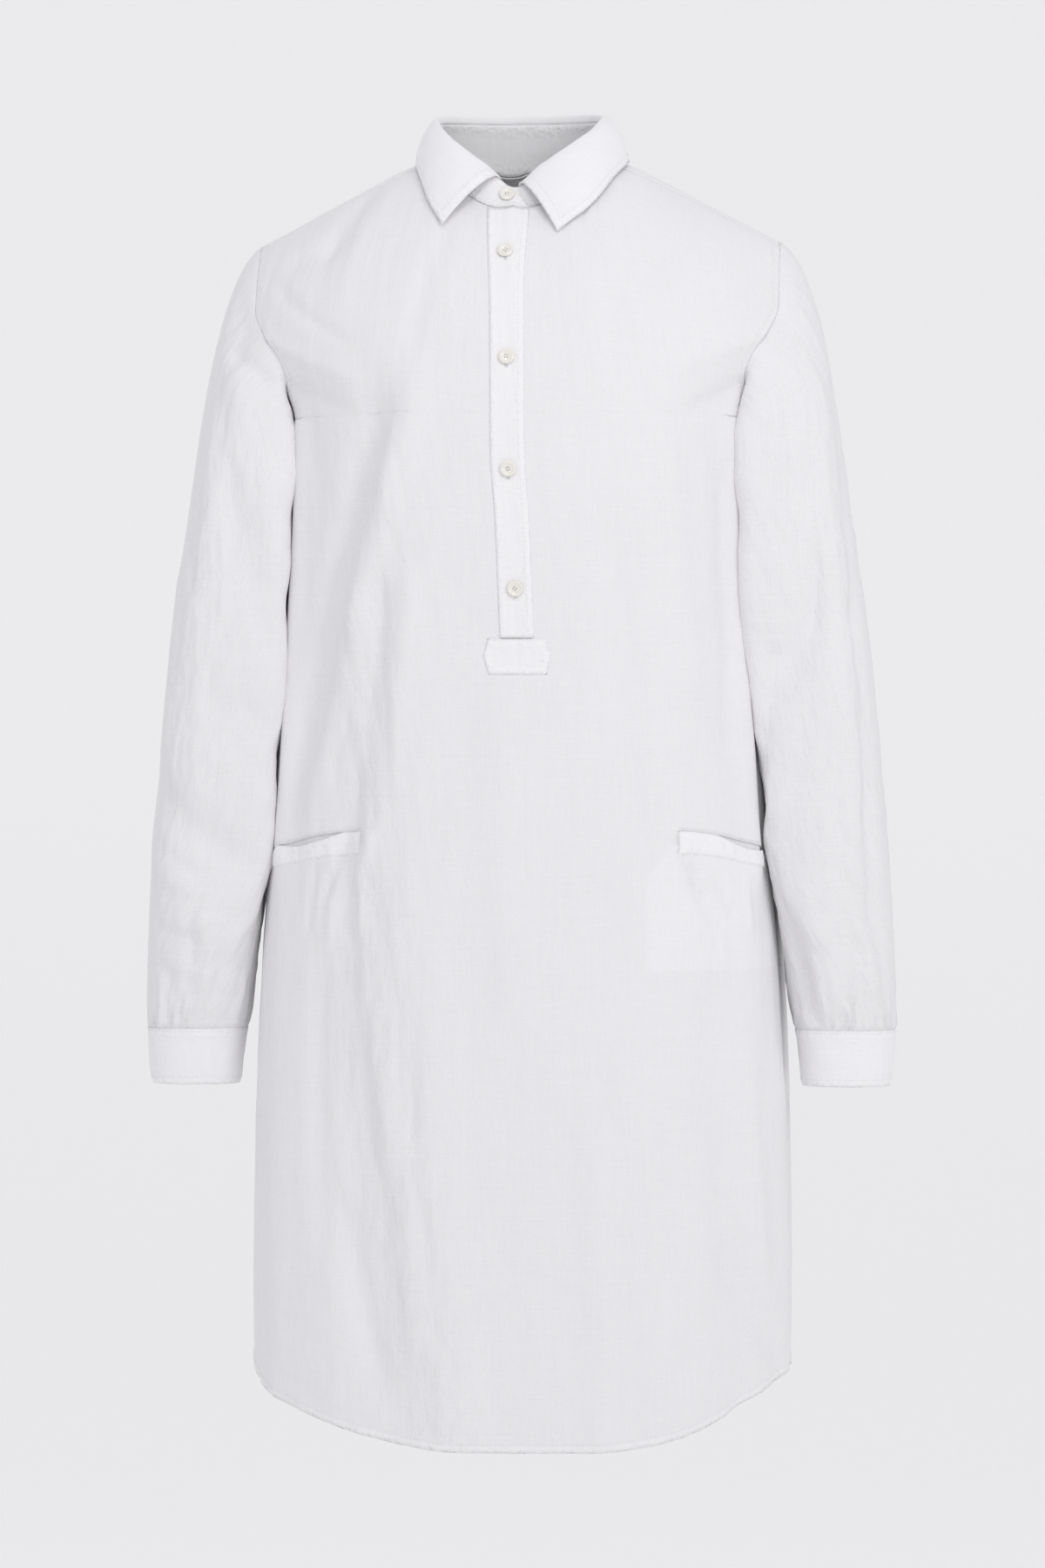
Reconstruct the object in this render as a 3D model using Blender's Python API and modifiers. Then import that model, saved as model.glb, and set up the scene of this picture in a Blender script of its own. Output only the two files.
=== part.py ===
"""A long linen popover shirt, filled out as it hangs on a general figure.

Metres, +Z up. +X is the viewer's right and the front faces -Y. The origin lies midway between
the shoulders, level with the neck seam, in the plane of the side seams.

The body is one surface that every panel is read from: rings below the armpit, and a shoulder
dome above it. What lies on a panel is read from the same surface, moved out or in.
"""
from bisect import bisect_right
from collections import namedtuple
from functools import lru_cache
from math import asin, atan2, copysign, cos, degrees, exp, hypot, pi, radians, sin

import bmesh
import bpy
from mathutils import Vector

# ---------------------------------------------------------------- driving sizes, metres
WALL = 0.0012                 # cloth wall
SEAM = 0.0003                 # gap between pieces at a seam
LAYER = WALL + SEAM           # from one layer to the next one on it

ARMPIT_Z = -0.190
CHEST_POWER = 2.4             # how square the body's rings are
HEM_FRONT_Z = -0.940          # lowest point of the shirt-tail hem
HEM_SIDE_RISE = 0.050         # how much higher it ends at the side seams
HEM_TURNS_UP = (radians(12), radians(86))
FRONT_LEAN = radians(5.0)     # the front swings to the viewer's right by this angle at the hem
NECK_LEAN = radians(-1.15)    # and its opening a little to the left at the neck

SHOULDER_SLOPE = 0.53
SHOULDER_AT_CENTRE = 0.047    # height where the two straight shoulder lines would meet
SHOULDER_ROUNDING = 0.012     # how far they are rounded off below it
NECK_TOP_Z = 0.014            # height of the dome over the neck hole
DOME_POWER = {"front": 1.75, "back": 3.0}
DOME_WIDTH = 0.209            # half width of the dome, beyond the armholes
DOME_WIDENS_BY = radians(35)
ARMHOLE_X = (0.169, 0.194)    # half width at the armpit and at the shoulder point
ARMHOLE_WIDENS = (radians(12), radians(42))

NECK_RADIUS = 0.066
NECK_CENTRE_Y = -0.008
YOKE_FRONT = ((0.0635, -0.026), (0.194, -0.012))    # front seam of the yoke, x and y
YOKE_BACK_Z = -0.086
STAND_LAP = radians(10.5)     # each end of the stand passes the centre front by this
LAP_SLANT = 0.85              # share of it that is cut away towards the top of the upper end
LAP_INSET = 2 * LAYER         # how far in the under end lies behind the upper one

PLACKET_WIDTH = 0.025
PLACKET_OUT = LAYER + SEAM    # its outer face over the front's
PLACKET_FLARE = 0.003         # the free top ends of the placket spread by this on each side
PLACKET_TOP, UNDER_TOP = 0.985, 0.95    # shares of the way up to the neck where its layers end
SLOT_WIDTH = 0.006
TAB_TOP_Z, TAB_BOTTOM_Z = -0.353, -0.379
TAB_WIDTH, TAB_POINT = 0.042, 0.0035

POCKET_FROM, POCKET_TO = 36.4, 75.8                 # degrees round from the centre front
POCKET_Z, POCKET_DROP, POCKET_GAPE = -0.492, 0.014, 0.003
WELT_HEIGHT = 0.014
BAG_DEPTH, BAG_ABOVE_MOUTH = 0.100, 0.012
BAG_MARGIN = 0.03             # how much wider than the mouth on each side, as a share of the panel

CUFF_TOP_Z, CUFF_BOTTOM_Z = -0.639, -0.681
CUFF_LAP = radians(32)
CUFF_LAP_AT = radians(262)    # round the sleeve from its outer side by way of the front

BUTTON_RADIUS, BUTTON_THICKNESS = 0.0057, 0.0022
BUTTON_SEAT = 0.0006          # over the cloth at its middle, so that the rim clears a curved strip

# rings of the body below the armpit
Ring = namedtuple("Ring", "z half_width front back")
BODY_RINGS = [
    Ring(-0.960, 0.197, 0.134, 0.130),
    Ring(-0.840, 0.199, 0.136, 0.130),
    Ring(-0.700, 0.197, 0.136, 0.128),
    Ring(-0.600, 0.193, 0.133, 0.124),
    Ring(-0.500, 0.186, 0.129, 0.118),
    Ring(-0.380, 0.178, 0.126, 0.112),
    Ring(-0.260, 0.171, 0.130, 0.112),
    Ring(-0.190, 0.169, 0.129, 0.112),
]

# level rings of a sleeve, for the one on the viewer's right
Cuffward = namedtuple("Cuffward", "z inner_x outer_x front_y back_y")
SLEEVE_RINGS = [
    Cuffward(-0.681, 0.2095, 0.2760, -0.040, 0.026),
    Cuffward(-0.660, 0.2075, 0.2785, -0.042, 0.028),
    Cuffward(-0.639, 0.2045, 0.2790, -0.043, 0.029),
    Cuffward(-0.621, 0.2010, 0.2790, -0.049, 0.033),
    Cuffward(-0.588, 0.1965, 0.2785, -0.056, 0.037),
    Cuffward(-0.530, 0.1925, 0.2755, -0.064, 0.039),
    Cuffward(-0.458, 0.1875, 0.2700, -0.070, 0.041),
    Cuffward(-0.390, 0.1835, 0.2640, -0.073, 0.044),
    Cuffward(-0.325, 0.1785, 0.2565, -0.075, 0.047),
    Cuffward(-0.260, 0.1760, 0.2470, -0.075, 0.051),
    Cuffward(-0.200, 0.1745, 0.2390, -0.070, 0.055),
]
SLEEVE_HEAD_Z = -0.200        # where the rings turn level
SLEEVE_HEAD_REACH = (0.028, -0.017)                 # how the top of the head leaves the shoulder
UNDERARM_EASE = 0.003         # how far the underarm bows away from the body
SLEEVE_POWER = 2.25           # how square a sleeve's rings are
SLEEVE_RADIUS = 0.045         # its mean radius, which turns a fold's degrees into metres
HUG_CLEARANCE = 0.002         # between the side of the body and a sleeve that hangs against it
HUG_POWER = 4.0               # how square a ring's inner half is there
HUG_TURNS = (radians(95), radians(165))             # where a ring's inner side bends to the body
HUG_BELOW_Z, HUG_ABOVE_Z = (-0.185, -0.225), (-0.60, -0.47)

# top of the stand and free edge of the leaf, by the angle round the neck from the centre front
StandTop = namedtuple("StandTop", "angle radius z roll_rise")
STAND_TOP = [
    StandTop(-20, 0.0555, -0.0060, 0.012),
    StandTop(0, 0.0550, -0.0200, 0.011),
    StandTop(20, 0.0555, -0.0060, 0.012),
    StandTop(45, 0.0570, 0.0100, 0.013),
    StandTop(68, 0.0580, 0.0230, 0.013),
    StandTop(90, 0.0590, 0.0330, 0.014),
    StandTop(135, 0.0610, 0.0390, 0.020),
    StandTop(180, 0.0620, 0.0410, 0.024),
]
LeafEdge = namedtuple("LeafEdge", "angle x y")
LEAF_EDGE = [                 # from the point on the viewer's left, round the back, to the right
    LeafEdge(-10, -0.0510, -0.0840),
    LeafEdge(-30, -0.0610, -0.0700),
    LeafEdge(-55, -0.0705, -0.0450),
    LeafEdge(-85, -0.0760, -0.0150),
    LeafEdge(-120, -0.0720, 0.0300),
    LeafEdge(-150, -0.0440, 0.0650),
    LeafEdge(-180, 0.0, 0.0760),
    LeafEdge(-210, 0.0440, 0.0650),
    LeafEdge(-240, 0.0740, 0.0300),
    LeafEdge(-275, 0.0800, -0.0150),
    LeafEdge(-305, 0.0710, -0.0480),
    LeafEdge(-334, 0.0560, -0.0740),
    LeafEdge(-356, 0.0340, -0.0880),
]
LEAF_CLEARANCE = 0.0030       # of its free edge over the panels
LEAF_SWELL = 0.007            # how far its fall bows out

# the largest folds: a soft line between two places, as a ridge (+) or a trough (-)
Fold = namedtuple("Fold", "angle_a z_a angle_b z_b width height")
BODY_FOLDS = [                # angles in degrees round the body from the centre front
    Fold(-50, -0.24, -54, -0.60, 0.035, -0.005),
    Fold(-34, -0.21, -53, -0.41, 0.020, -0.005),
    Fold(-40, -0.42, -38, -0.57, 0.026, -0.006),
    Fold(-35, -0.67, -26, -0.88, 0.026, -0.007),
    Fold(-23, -0.26, -22, -0.56, 0.026, 0.003),
    Fold(-18, -0.62, -12, -0.90, 0.026, 0.004),
    Fold(-58, -0.62, -56, -0.95, 0.024, 0.004),
    Fold(48, -0.62, 56, -0.95, 0.030, -0.007),
    Fold(30, -0.70, 34, -0.96, 0.028, 0.005),
    Fold(74, -0.70, 78, -0.95, 0.026, 0.005),
    Fold(38, -0.24, 34, -0.46, 0.030, 0.003),
    Fold(132, -0.26, 126, -0.95, 0.036, -0.008),
    Fold(-128, -0.30, -130, -0.95, 0.036, -0.008),
    Fold(158, -0.40, 160, -0.96, 0.030, 0.007),
    Fold(-160, -0.36, -156, -0.96, 0.030, 0.006),
    Fold(180, -0.14, 180, -0.70, 0.028, -0.005),
    Fold(104, -0.55, 108, -0.95, 0.028, 0.006),
    Fold(-104, -0.60, -106, -0.95, 0.028, 0.006),
]
SleeveFold = namedtuple("SleeveFold", "turn_a z_a turn_b z_b width height")
SLEEVE_FOLDS = {              # turns in degrees round the sleeve: 0 outer side, 90 front, 180 inner
    "left": [
        SleeveFold(68, -0.110, 118, -0.163, 0.012, -0.004),
        SleeveFold(66, -0.183, 100, -0.264, 0.015, -0.004),
        SleeveFold(85, -0.165, 125, -0.290, 0.014, 0.003),
        SleeveFold(114, -0.413, 139, -0.440, 0.018, -0.005),
        SleeveFold(50, -0.469, 113, -0.512, 0.013, -0.005),
        SleeveFold(55, -0.520, 95, -0.560, 0.016, 0.004),
        SleeveFold(240, -0.300, 300, -0.480, 0.018, -0.005),
        SleeveFold(280, -0.450, 220, -0.560, 0.016, -0.004),
    ],
    "right": [
        SleeveFold(80, -0.250, 82, -0.325, 0.016, -0.005),
        SleeveFold(86, -0.335, 112, -0.370, 0.016, -0.005),
        SleeveFold(114, -0.375, 136, -0.450, 0.018, -0.006),
        SleeveFold(12, -0.180, 30, -0.335, 0.013, -0.003),
        SleeveFold(31, -0.337, 48, -0.560, 0.012, -0.003),
        SleeveFold(134, -0.500, 127, -0.632, 0.016, -0.005),
        SleeveFold(97, -0.500, 106, -0.615, 0.015, 0.004),
        SleeveFold(250, -0.280, 300, -0.430, 0.018, -0.005),
        SleeveFold(290, -0.440, 230, -0.560, 0.016, -0.004),
    ],
}

# ---------------------------------------------------------------- reading tables and curves


def smooth(low, high, at):
    """0 below low, 1 above high, and an even S between them."""
    t = min(max((at - low) / (high - low), 0.0), 1.0)
    return t * t * (3.0 - 2.0 * t)


def between(rows, at):
    """The row of a table at a value of its first column, on a smooth curve through its rows."""
    keys = [row[0] for row in rows]
    at = min(max(at, keys[0]), keys[-1])
    i = min(bisect_right(keys, at), len(rows) - 1) - 1
    step = keys[i + 1] - keys[i]
    t = (at - keys[i]) / step

    def slope(k, column):
        low, high = max(k - 1, 0), min(k + 1, len(rows) - 1)
        return (rows[high][column] - rows[low][column]) / (keys[high] - keys[low])

    values = []
    for column in range(len(rows[0])):
        a, b = rows[i][column], rows[i + 1][column]
        rise = (2 * t**3 - 3 * t**2 + 1) * a + (3 * t**2 - 2 * t**3) * b
        lean = (t**3 - 2 * t**2 + t) * slope(i, column) + (t**3 - t**2) * slope(i + 1, column)
        values.append(rise + step * lean)
    return type(rows[0])(*values)


def steps(first, last, count):
    """Evenly spaced values, both ends included."""
    return [first + (last - first) * i / (count - 1) for i in range(count)]


def where(test, low, high):
    """The value between low and high at which test turns positive, by halving."""
    for _ in range(30):
        middle = (low + high) / 2
        low, high = (low, middle) if test(middle) > 0 else (middle, high)
    return (low + high) / 2


def fold_height(folds, around, z, radius):
    """How far the folds lift a place, which lies `around` degrees round a tube of that radius."""
    height = 0.0
    for fold in folds:
        turn_a = (around - fold[0] + 180) % 360 - 180
        ax, az = radians(turn_a) * radius, z - fold.z_a
        bx, bz = radians(fold[2] - fold[0]) * radius, fold.z_b - fold.z_a
        length = hypot(bx, bz)
        along = (ax * bx + az * bz) / length
        off = (ax * bz - az * bx) / length
        beyond = max(-along, along - length, 0.0)
        height += fold.height * exp(-(off / fold.width) ** 2 - (beyond / (2 * fold.width)) ** 2)
    return height


# ---------------------------------------------------------------- the body's one surface
# A place has a face (front or back), an angle round from its middle, and a rise: below 0 the
# metres under the armpit, and above 0 the angle up the shoulder dome.


def shoulder_z(x):
    """Height of the shoulder line, flattened over the neck hole."""
    straight = SHOULDER_AT_CENTRE - SHOULDER_SLOPE * abs(x)
    return straight - SHOULDER_ROUNDING * smooth(0.100, 0.0, abs(x)) - (
        SHOULDER_AT_CENTRE - SHOULDER_ROUNDING - NECK_TOP_Z) * smooth(0.060, 0.0, abs(x))


def ring_at(rise):
    """Half width, front depth and back depth of the body at a rise."""
    ring = between(BODY_RINGS, ARMPIT_Z + min(rise, 0.0))
    widening = (DOME_WIDTH - ARMHOLE_X[0]) * smooth(0.0, DOME_WIDENS_BY, rise)
    return ring.half_width + widening, ring.front, ring.back


def armhole_x(rise):
    """Half width at which the armhole cuts the dome."""
    return ARMHOLE_X[0] + (ARMHOLE_X[1] - ARMHOLE_X[0]) * smooth(*ARMHOLE_WIDENS, rise)


def angle_of(x, rise):
    """The angle round a ring at which the body reaches x."""
    share = min(abs(x) / ring_at(rise)[0], 1.0)
    return copysign(atan2(share, (1 - share**CHEST_POWER) ** (1 / CHEST_POWER)), x)


def plain_body(face, angle, rise):
    """A place on the body before any folds."""
    half_width, front, back = ring_at(rise)
    s, c = sin(angle), cos(angle)
    r = (abs(s) ** CHEST_POWER + abs(c) ** CHEST_POWER) ** (-1 / CHEST_POWER)
    x = half_width * r * s
    y = -front * r * c if face == "front" else back * r * c
    if rise <= 0:
        return Vector((x, y, ARMPIT_Z + rise))
    turn = 2 / DOME_POWER[face]
    up = min(rise, pi / 2)
    top = shoulder_z(x)
    return Vector((x, y * max(cos(up), 0.0) ** turn, ARMPIT_Z + (top - ARMPIT_Z) * sin(up) ** turn))


def body(face, angle, rise, out=0.0):
    """A place on the body with its folds, moved out of the cloth's outer face by `out`."""
    step = 0.002
    place = plain_body(face, angle, rise)
    across = plain_body(face, angle + step, rise) - plain_body(face, angle - step, rise)
    upward = plain_body(face, angle, rise + step) - plain_body(face, angle, rise - step)
    normal = across.cross(upward).normalized()
    if normal.dot(Vector((place.x, place.y, 0))) < 0:
        normal.negate()
    around = degrees(angle) if face == "front" else 180 - degrees(angle)
    return place + normal * (out + fold_height(BODY_FOLDS, around, place.z, ring_at(rise)[0]))


def lean(rise):
    """How far the middle of the front has swung round at a rise."""
    below = max(-rise, 0.0)
    return FRONT_LEAN * (1 - exp(-below / 0.25)) * smooth(0.0, 0.08, below)


def around_neck(radius, angle):
    """Plan place at an angle round the neck from the centre front, positive to the right."""
    return radius * sin(angle), NECK_CENTRE_Y - radius * cos(angle)


def panel_angle(face, across, rise):
    """The angle of a place `across` a panel, from -1 to 1 between its side edges."""
    edge = pi / 2 - SEAM / 0.25
    if rise > 0:
        edge = min(edge, angle_of(armhole_x(rise) - SEAM / 2, rise))
    swing = 0.0
    if face == "front":
        at_neck = smooth(0.0, 1.0, rise) * smooth(0.225, 0.0, abs(across))
        swing = lean(rise) * (1 - abs(across)) + NECK_LEAN * at_neck
    return across * edge + swing


def hem_z(angle):
    """Height of the shirt-tail hem."""
    return HEM_FRONT_Z + HEM_SIDE_RISE * smooth(*HEM_TURNS_UP, abs(angle))


@lru_cache(maxsize=None)
def front_top(across):
    """The rise at which the front ends, at the yoke seam or at the neck."""
    def outside(rise):
        place = plain_body("front", panel_angle("front", across, rise), rise)
        return place.y - front_edge_y(place.x)
    return where(outside, 0.2, 1.55)


def front_edge_y(x):
    """The y of the front's top edge in plan."""
    (x0, y0), (x1, y1) = YOKE_FRONT
    if abs(x) < x0:
        return NECK_CENTRE_Y - (NECK_RADIUS**2 - x * x) ** 0.5
    return y0 + (y1 - y0) * (abs(x) - x0) / (x1 - x0) - SEAM / 2


@lru_cache(maxsize=None)
def back_top(across):
    """The rise at which the back ends, at the straight seam under the yoke."""
    def above(rise):
        return plain_body("back", panel_angle("back", across, rise), rise).z - YOKE_BACK_Z + SEAM / 2
    return where(above, 0.05, 1.5)


def top_x(face, across):
    """The x at which a panel's column meets its top edge."""
    rise = front_top(across) if face == "front" else back_top(across)
    return plain_body(face, panel_angle(face, across, rise), rise).x


@lru_cache(maxsize=None)
def dome_rise(x, y):
    """The rise of the place on the shoulder dome that lies at x and y in plan."""
    face = "front" if y < 0 else "back"
    return where(lambda r: abs(y) - abs(plain_body(face, angle_of(x, r), r).y), 0.3, pi / 2 - 1e-4)


def on_dome(x, y, out=0.0):
    """The place on the shoulder dome that lies at x and y in plan."""
    rise = dome_rise(x, y)
    return body("front" if y < 0 else "back", angle_of(x, rise), rise, out)


# ---------------------------------------------------------------- making objects


collection = None


def paint(thing, colour, roughness=0.9):
    """Give a piece its own material."""
    material = bpy.data.materials.new(thing.name + "_finish")
    material.use_nodes = True
    shader = material.node_tree.nodes["Principled BSDF"]
    shader.inputs["Base Color"].default_value = (*colour, 1)
    shader.inputs["Roughness"].default_value = roughness
    shader.inputs["Metallic"].default_value = 0.0
    thing.data.materials.append(material)


LINEN = (0.80, 0.80, 0.81)
SHELL_CREAM = (0.82, 0.80, 0.73)


def cloth(name, columns, rows, place, leave_out=None, closed=False):
    """A cloth wall: a grid whose points are put in place by function, then given its thickness.

    place(column, row) is a point of the outer face; columns run so that it faces outwards with
    the rows going up. leave_out(i, j) is true in the squares that are cut away, by the numbers
    of their column and row. A closed one is a tube whose last column is its first again.
    """
    grid = bmesh.new()
    wide, high = len(columns) - 1, len(rows) - 1
    bmesh.ops.create_grid(grid, x_segments=wide, y_segments=high, size=1.0)
    if leave_out:
        def square(face):
            middle = face.calc_center_median()
            return int((middle.x + 1) / 2 * wide), int((middle.y + 1) / 2 * high)
        cut = [face for face in grid.faces if leave_out(*square(face))]
        bmesh.ops.delete(grid, geom=cut, context="FACES")
    for vertex in grid.verts:
        column = round((vertex.co.x + 1) / 2 * wide)
        if closed and column == wide:
            column = 0
        vertex.co = place(columns[column], rows[round((vertex.co.y + 1) / 2 * high)])
    if closed:
        bmesh.ops.remove_doubles(grid, verts=grid.verts, dist=1e-6)
    mesh = bpy.data.meshes.new(name)
    grid.to_mesh(mesh)
    grid.free()
    thing = bpy.data.objects.new(name, mesh)
    collection.objects.link(thing)
    wall = thing.modifiers.new("Wall", "SOLIDIFY")
    wall.thickness = WALL
    wall.offset = -1.0
    paint(thing, LINEN)
    return thing


# ---------------------------------------------------------------- front, back and yoke
# Neighbours take the same places along the seam they share, so their facets never cross.
# A column is the share of the way to a panel's side edge. A row below 0 is in metres under the
# armpit, and one above 0 is the share of the way up to the panel's top edge.

SLOT_ACROSS = SLOT_WIDTH / 2 / 0.30
NECK_CORNER = where(lambda across: top_x("front", across) - YOKE_FRONT[0][0], 0.2, 0.35)
LAP_ACROSS = where(lambda across: top_x("front", across) - NECK_RADIUS * sin(STAND_LAP), 0.01, 0.2)
POCKET_ACROSS = (POCKET_FROM / 90, POCKET_TO / 90)
HALF_FRONT = [SLOT_ACROSS, LAP_ACROSS / 2, LAP_ACROSS, 0.11, 0.17, 0.225, NECK_CORNER, 0.34,
              POCKET_ACROSS[0], 0.50, 0.60, 0.70, 0.78, POCKET_ACROSS[1], 0.92, 1.0]
FRONT_COLUMNS = [-column for column in reversed(HALF_FRONT)] + HALF_FRONT
BACK_COLUMNS = steps(1.0, -1.0, 23)

MOUTH_ROW = POCKET_Z - ARMPIT_Z
TAB_ROWS = [TAB_BOTTOM_Z - ARMPIT_Z, (TAB_TOP_Z + TAB_BOTTOM_Z) / 2 - ARMPIT_Z, TAB_TOP_Z - ARMPIT_Z]
SHOULDER_ROWS = [0.06, 0.13, 0.22, 0.33, 0.46, 0.60, 0.78, 0.93, 1.0]
HEM_ROW = HEM_FRONT_Z - ARMPIT_Z
FRONT_ROWS = (steps(HEM_ROW, -0.48, 8) + [-0.42, -0.36, MOUTH_ROW - POCKET_GAPE, MOUTH_ROW, -0.26,
              -0.215, TAB_ROWS[1], -0.13, -0.085, -0.04, 0.0] + SHOULDER_ROWS)
BACK_ROWS = steps(HEM_ROW, 0.0, 16) + SHOULDER_ROWS


def panel_rise(face, across, row):
    """The rise of a row of a panel in one of its columns."""
    if row > 0:
        return row * (front_top(across) if face == "front" else back_top(across))
    z = ARMPIT_Z + row
    hem = (hem_z(across * pi / 2) - HEM_FRONT_Z) * smooth(-0.80, -0.93, z)
    slant = 0.0
    if face == "front":
        outward = smooth(POCKET_ACROSS[0], POCKET_ACROSS[1], abs(across))
        slant = -POCKET_DROP * outward * exp(-((z - POCKET_Z) / 0.05) ** 2)
    return row + hem + slant


def panel_place(face, across, row, out=0.0):
    rise = panel_rise(face, across, row)
    return body(face, panel_angle(face, across, rise), rise, out)


def on_front(across, row, out):
    """A place on the front's own facets, moved out, for what lies on it or behind it."""
    i = min(bisect_right(FRONT_COLUMNS, across), len(FRONT_COLUMNS) - 1) - 1
    j = min(bisect_right(FRONT_ROWS, row), len(FRONT_ROWS) - 1) - 1
    u = (across - FRONT_COLUMNS[i]) / (FRONT_COLUMNS[i + 1] - FRONT_COLUMNS[i])
    v = (row - FRONT_ROWS[j]) / (FRONT_ROWS[j + 1] - FRONT_ROWS[j])
    low, high = (panel_place("front", FRONT_COLUMNS[i], FRONT_ROWS[k], out).lerp(
        panel_place("front", FRONT_COLUMNS[i + 1], FRONT_ROWS[k], out), u) for k in (j, j + 1))
    return low.lerp(high, v)


def make_front():
    middle = FRONT_COLUMNS.index(SLOT_ACROSS) - 1
    slot_foot = FRONT_ROWS.index(TAB_ROWS[1])
    mouth = FRONT_ROWS.index(MOUTH_ROW) - 1

    def cut(i, j):
        across = abs(FRONT_COLUMNS[i] + FRONT_COLUMNS[i + 1]) / 2
        in_mouth = j == mouth and POCKET_ACROSS[0] < across < POCKET_ACROSS[1]
        return in_mouth or (i == middle and j >= slot_foot)

    cloth("front", FRONT_COLUMNS, FRONT_ROWS, lambda across, row: panel_place("front", across, row), cut)


def make_back():
    cloth("back", BACK_COLUMNS, BACK_ROWS, lambda across, row: panel_place("back", across, row))


def back_seam_y(x):
    """The y of the seam under the yoke at the back."""
    rise = where(lambda r: plain_body("back", angle_of(x, r), r).z - YOKE_BACK_Z - SEAM / 2, 0.05, 1.5)
    return plain_body("back", angle_of(x, rise), rise).y


YOKE_ARMHOLE_X = ARMHOLE_X[1] - SEAM / 2
YOKE_ARMHOLE_Y = [YOKE_FRONT[1][1] + SEAM / 2] + steps(
    YOKE_FRONT[1][1] + 0.005, back_seam_y(YOKE_ARMHOLE_X), 5)
YOKE_NECK_START = atan2(YOKE_FRONT[0][0], NECK_CENTRE_Y - YOKE_FRONT[0][1]) + SEAM / 2 / NECK_RADIUS
YOKE_NECK_CORNER = radians(103)     # round the neck, opposite the corner of armhole and back seam


def yoke_stops():
    """The yoke's columns from its right front seam round the back: x and y of the outer end, and
    the angle round the neck of the inner end."""
    right = []
    for y in YOKE_ARMHOLE_Y:
        share = (y - YOKE_ARMHOLE_Y[0]) / (YOKE_ARMHOLE_Y[-1] - YOKE_ARMHOLE_Y[0])
        right.append((YOKE_ARMHOLE_X, y, YOKE_NECK_START + (YOKE_NECK_CORNER - YOKE_NECK_START) * share))
    back = []
    for across in BACK_COLUMNS[1:-1]:
        x = top_x("back", across)
        back.append((x, back_seam_y(x), pi - (pi - YOKE_NECK_CORNER) * x / YOKE_ARMHOLE_X))
    left = [(-x, y, 2 * pi - turn) for x, y, turn in reversed(right)]
    return right + back + left


def make_yoke():
    seam = [top_x("front", across) for across in HALF_FRONT if across >= NECK_CORNER]
    shares = [(x - seam[0]) / (seam[-1] - seam[0]) for x in seam]

    def place(stop, outward):
        x, y, turn = stop
        neck = Vector(around_neck(NECK_RADIUS, turn))
        return on_dome(*neck.lerp(Vector((x, y)), outward))

    cloth("yoke", yoke_stops(), list(reversed(shares)), place)


# ---------------------------------------------------------------- sleeves and cuffs


def armhole_stops():
    """The places of an armhole, as face and rise, from its front seam down and round the back."""
    front = [("front", row * front_top(1.0)) for row in reversed([0.0] + SHOULDER_ROWS)]
    back = [("back", row * back_top(1.0)) for row in SHOULDER_ROWS]
    over = [("front" if y < 0 else "back", dome_rise(ARMHOLE_X[1], y)) for y in YOKE_ARMHOLE_Y[1:-1]]
    return front + back + list(reversed(over))


def turn_of(face, rise):
    """How far round a sleeve a place of its armhole lies: 0 at the shoulder, half a turn below."""
    turn = pi * (1 - (rise / (pi / 2)) ** (2 / 3))
    return turn if face == "front" else 2 * pi - turn


def armhole_place(side, face, rise, out):
    place = body(face, side * angle_of(armhole_x(rise), rise), rise)
    return place + Vector((side * out, 0, out / 2))


def level_ring(side, turn, z, out=0.0):
    """A place on a level ring of a sleeve or cuff, `out` beyond it."""
    ring = between(SLEEVE_RINGS, z)
    c, s = cos(turn), sin(turn)
    against_body = smooth(*HUG_ABOVE_Z, z) * smooth(*HUG_BELOW_Z, z)
    power = SLEEVE_POWER + (HUG_POWER - SLEEVE_POWER) * against_body * (c < 0)
    r = (abs(c) ** power + abs(s) ** power) ** (-1 / power)
    half_x = (ring.outer_x - ring.inner_x) / 2 + out
    half_y = (ring.back_y - ring.front_y) / 2 + out
    x = (ring.outer_x + ring.inner_x) / 2 + half_x * r * c
    y = (ring.back_y + ring.front_y) / 2 - half_y * r * s
    hug = against_body * smooth(*HUG_TURNS, pi - abs(turn - pi))
    if hug > 0:
        half_width, front, back = ring_at(z - ARMPIT_Z)
        flatness = (1 - (abs(y) / (front if y < 0 else back)) ** CHEST_POWER) ** (1 / CHEST_POWER)
        x += (half_width * flatness + HUG_CLEARANCE - x) * hug
    return Vector((side * x, y, z))


def sleeve_place(name, side, stop, level):
    """A place on a sleeve. Levels from 1 to 0 go down its head, and below 0 they are metres."""
    z = SLEEVE_HEAD_Z + min(level, 0.0)
    turn = turn_of(*stop)
    place = level_ring(side, turn, z)
    if level > 0:
        down = 1 - level
        start = armhole_place(side, *stop, SEAM)
        outer_share = cos(turn / 2) ** 2
        reach = Vector((side * SLEEVE_HEAD_REACH[0], 0, SLEEVE_HEAD_REACH[1])) * outer_share
        ease = (place - start) / 2 + Vector((side * UNDERARM_EASE, 0, 0))
        middle = start + reach + ease * (1 - outer_share)
        place = start * level**2 + middle * (2 * level * down) + place * down**2
    fade = smooth(1.0, 0.6, level) * smooth(CUFF_TOP_Z, CUFF_TOP_Z + 0.03, place.z)
    middle_x = side * (abs(level_ring(1, 0, z).x) + abs(level_ring(1, pi, z).x)) / 2
    outward = Vector((place.x - middle_x, place.y, 0)).normalized()
    height = fold_height(SLEEVE_FOLDS[name], degrees(turn), place.z, SLEEVE_RADIUS)
    return place + outward * height * fade


def make_sleeve(name, side):
    head = [1.0, 0.86, 0.72, 0.58, 0.42, 0.26, 0.12]
    levels = head + steps(0.0, CUFF_TOP_Z - SLEEVE_HEAD_Z, 16)
    stops = armhole_stops()
    if side > 0:
        stops.reverse()
    cloth("sleeve_" + name, stops + stops[:1], list(reversed(levels)),
          lambda stop, level: sleeve_place(name, side, stop, level), closed=True)


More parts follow.
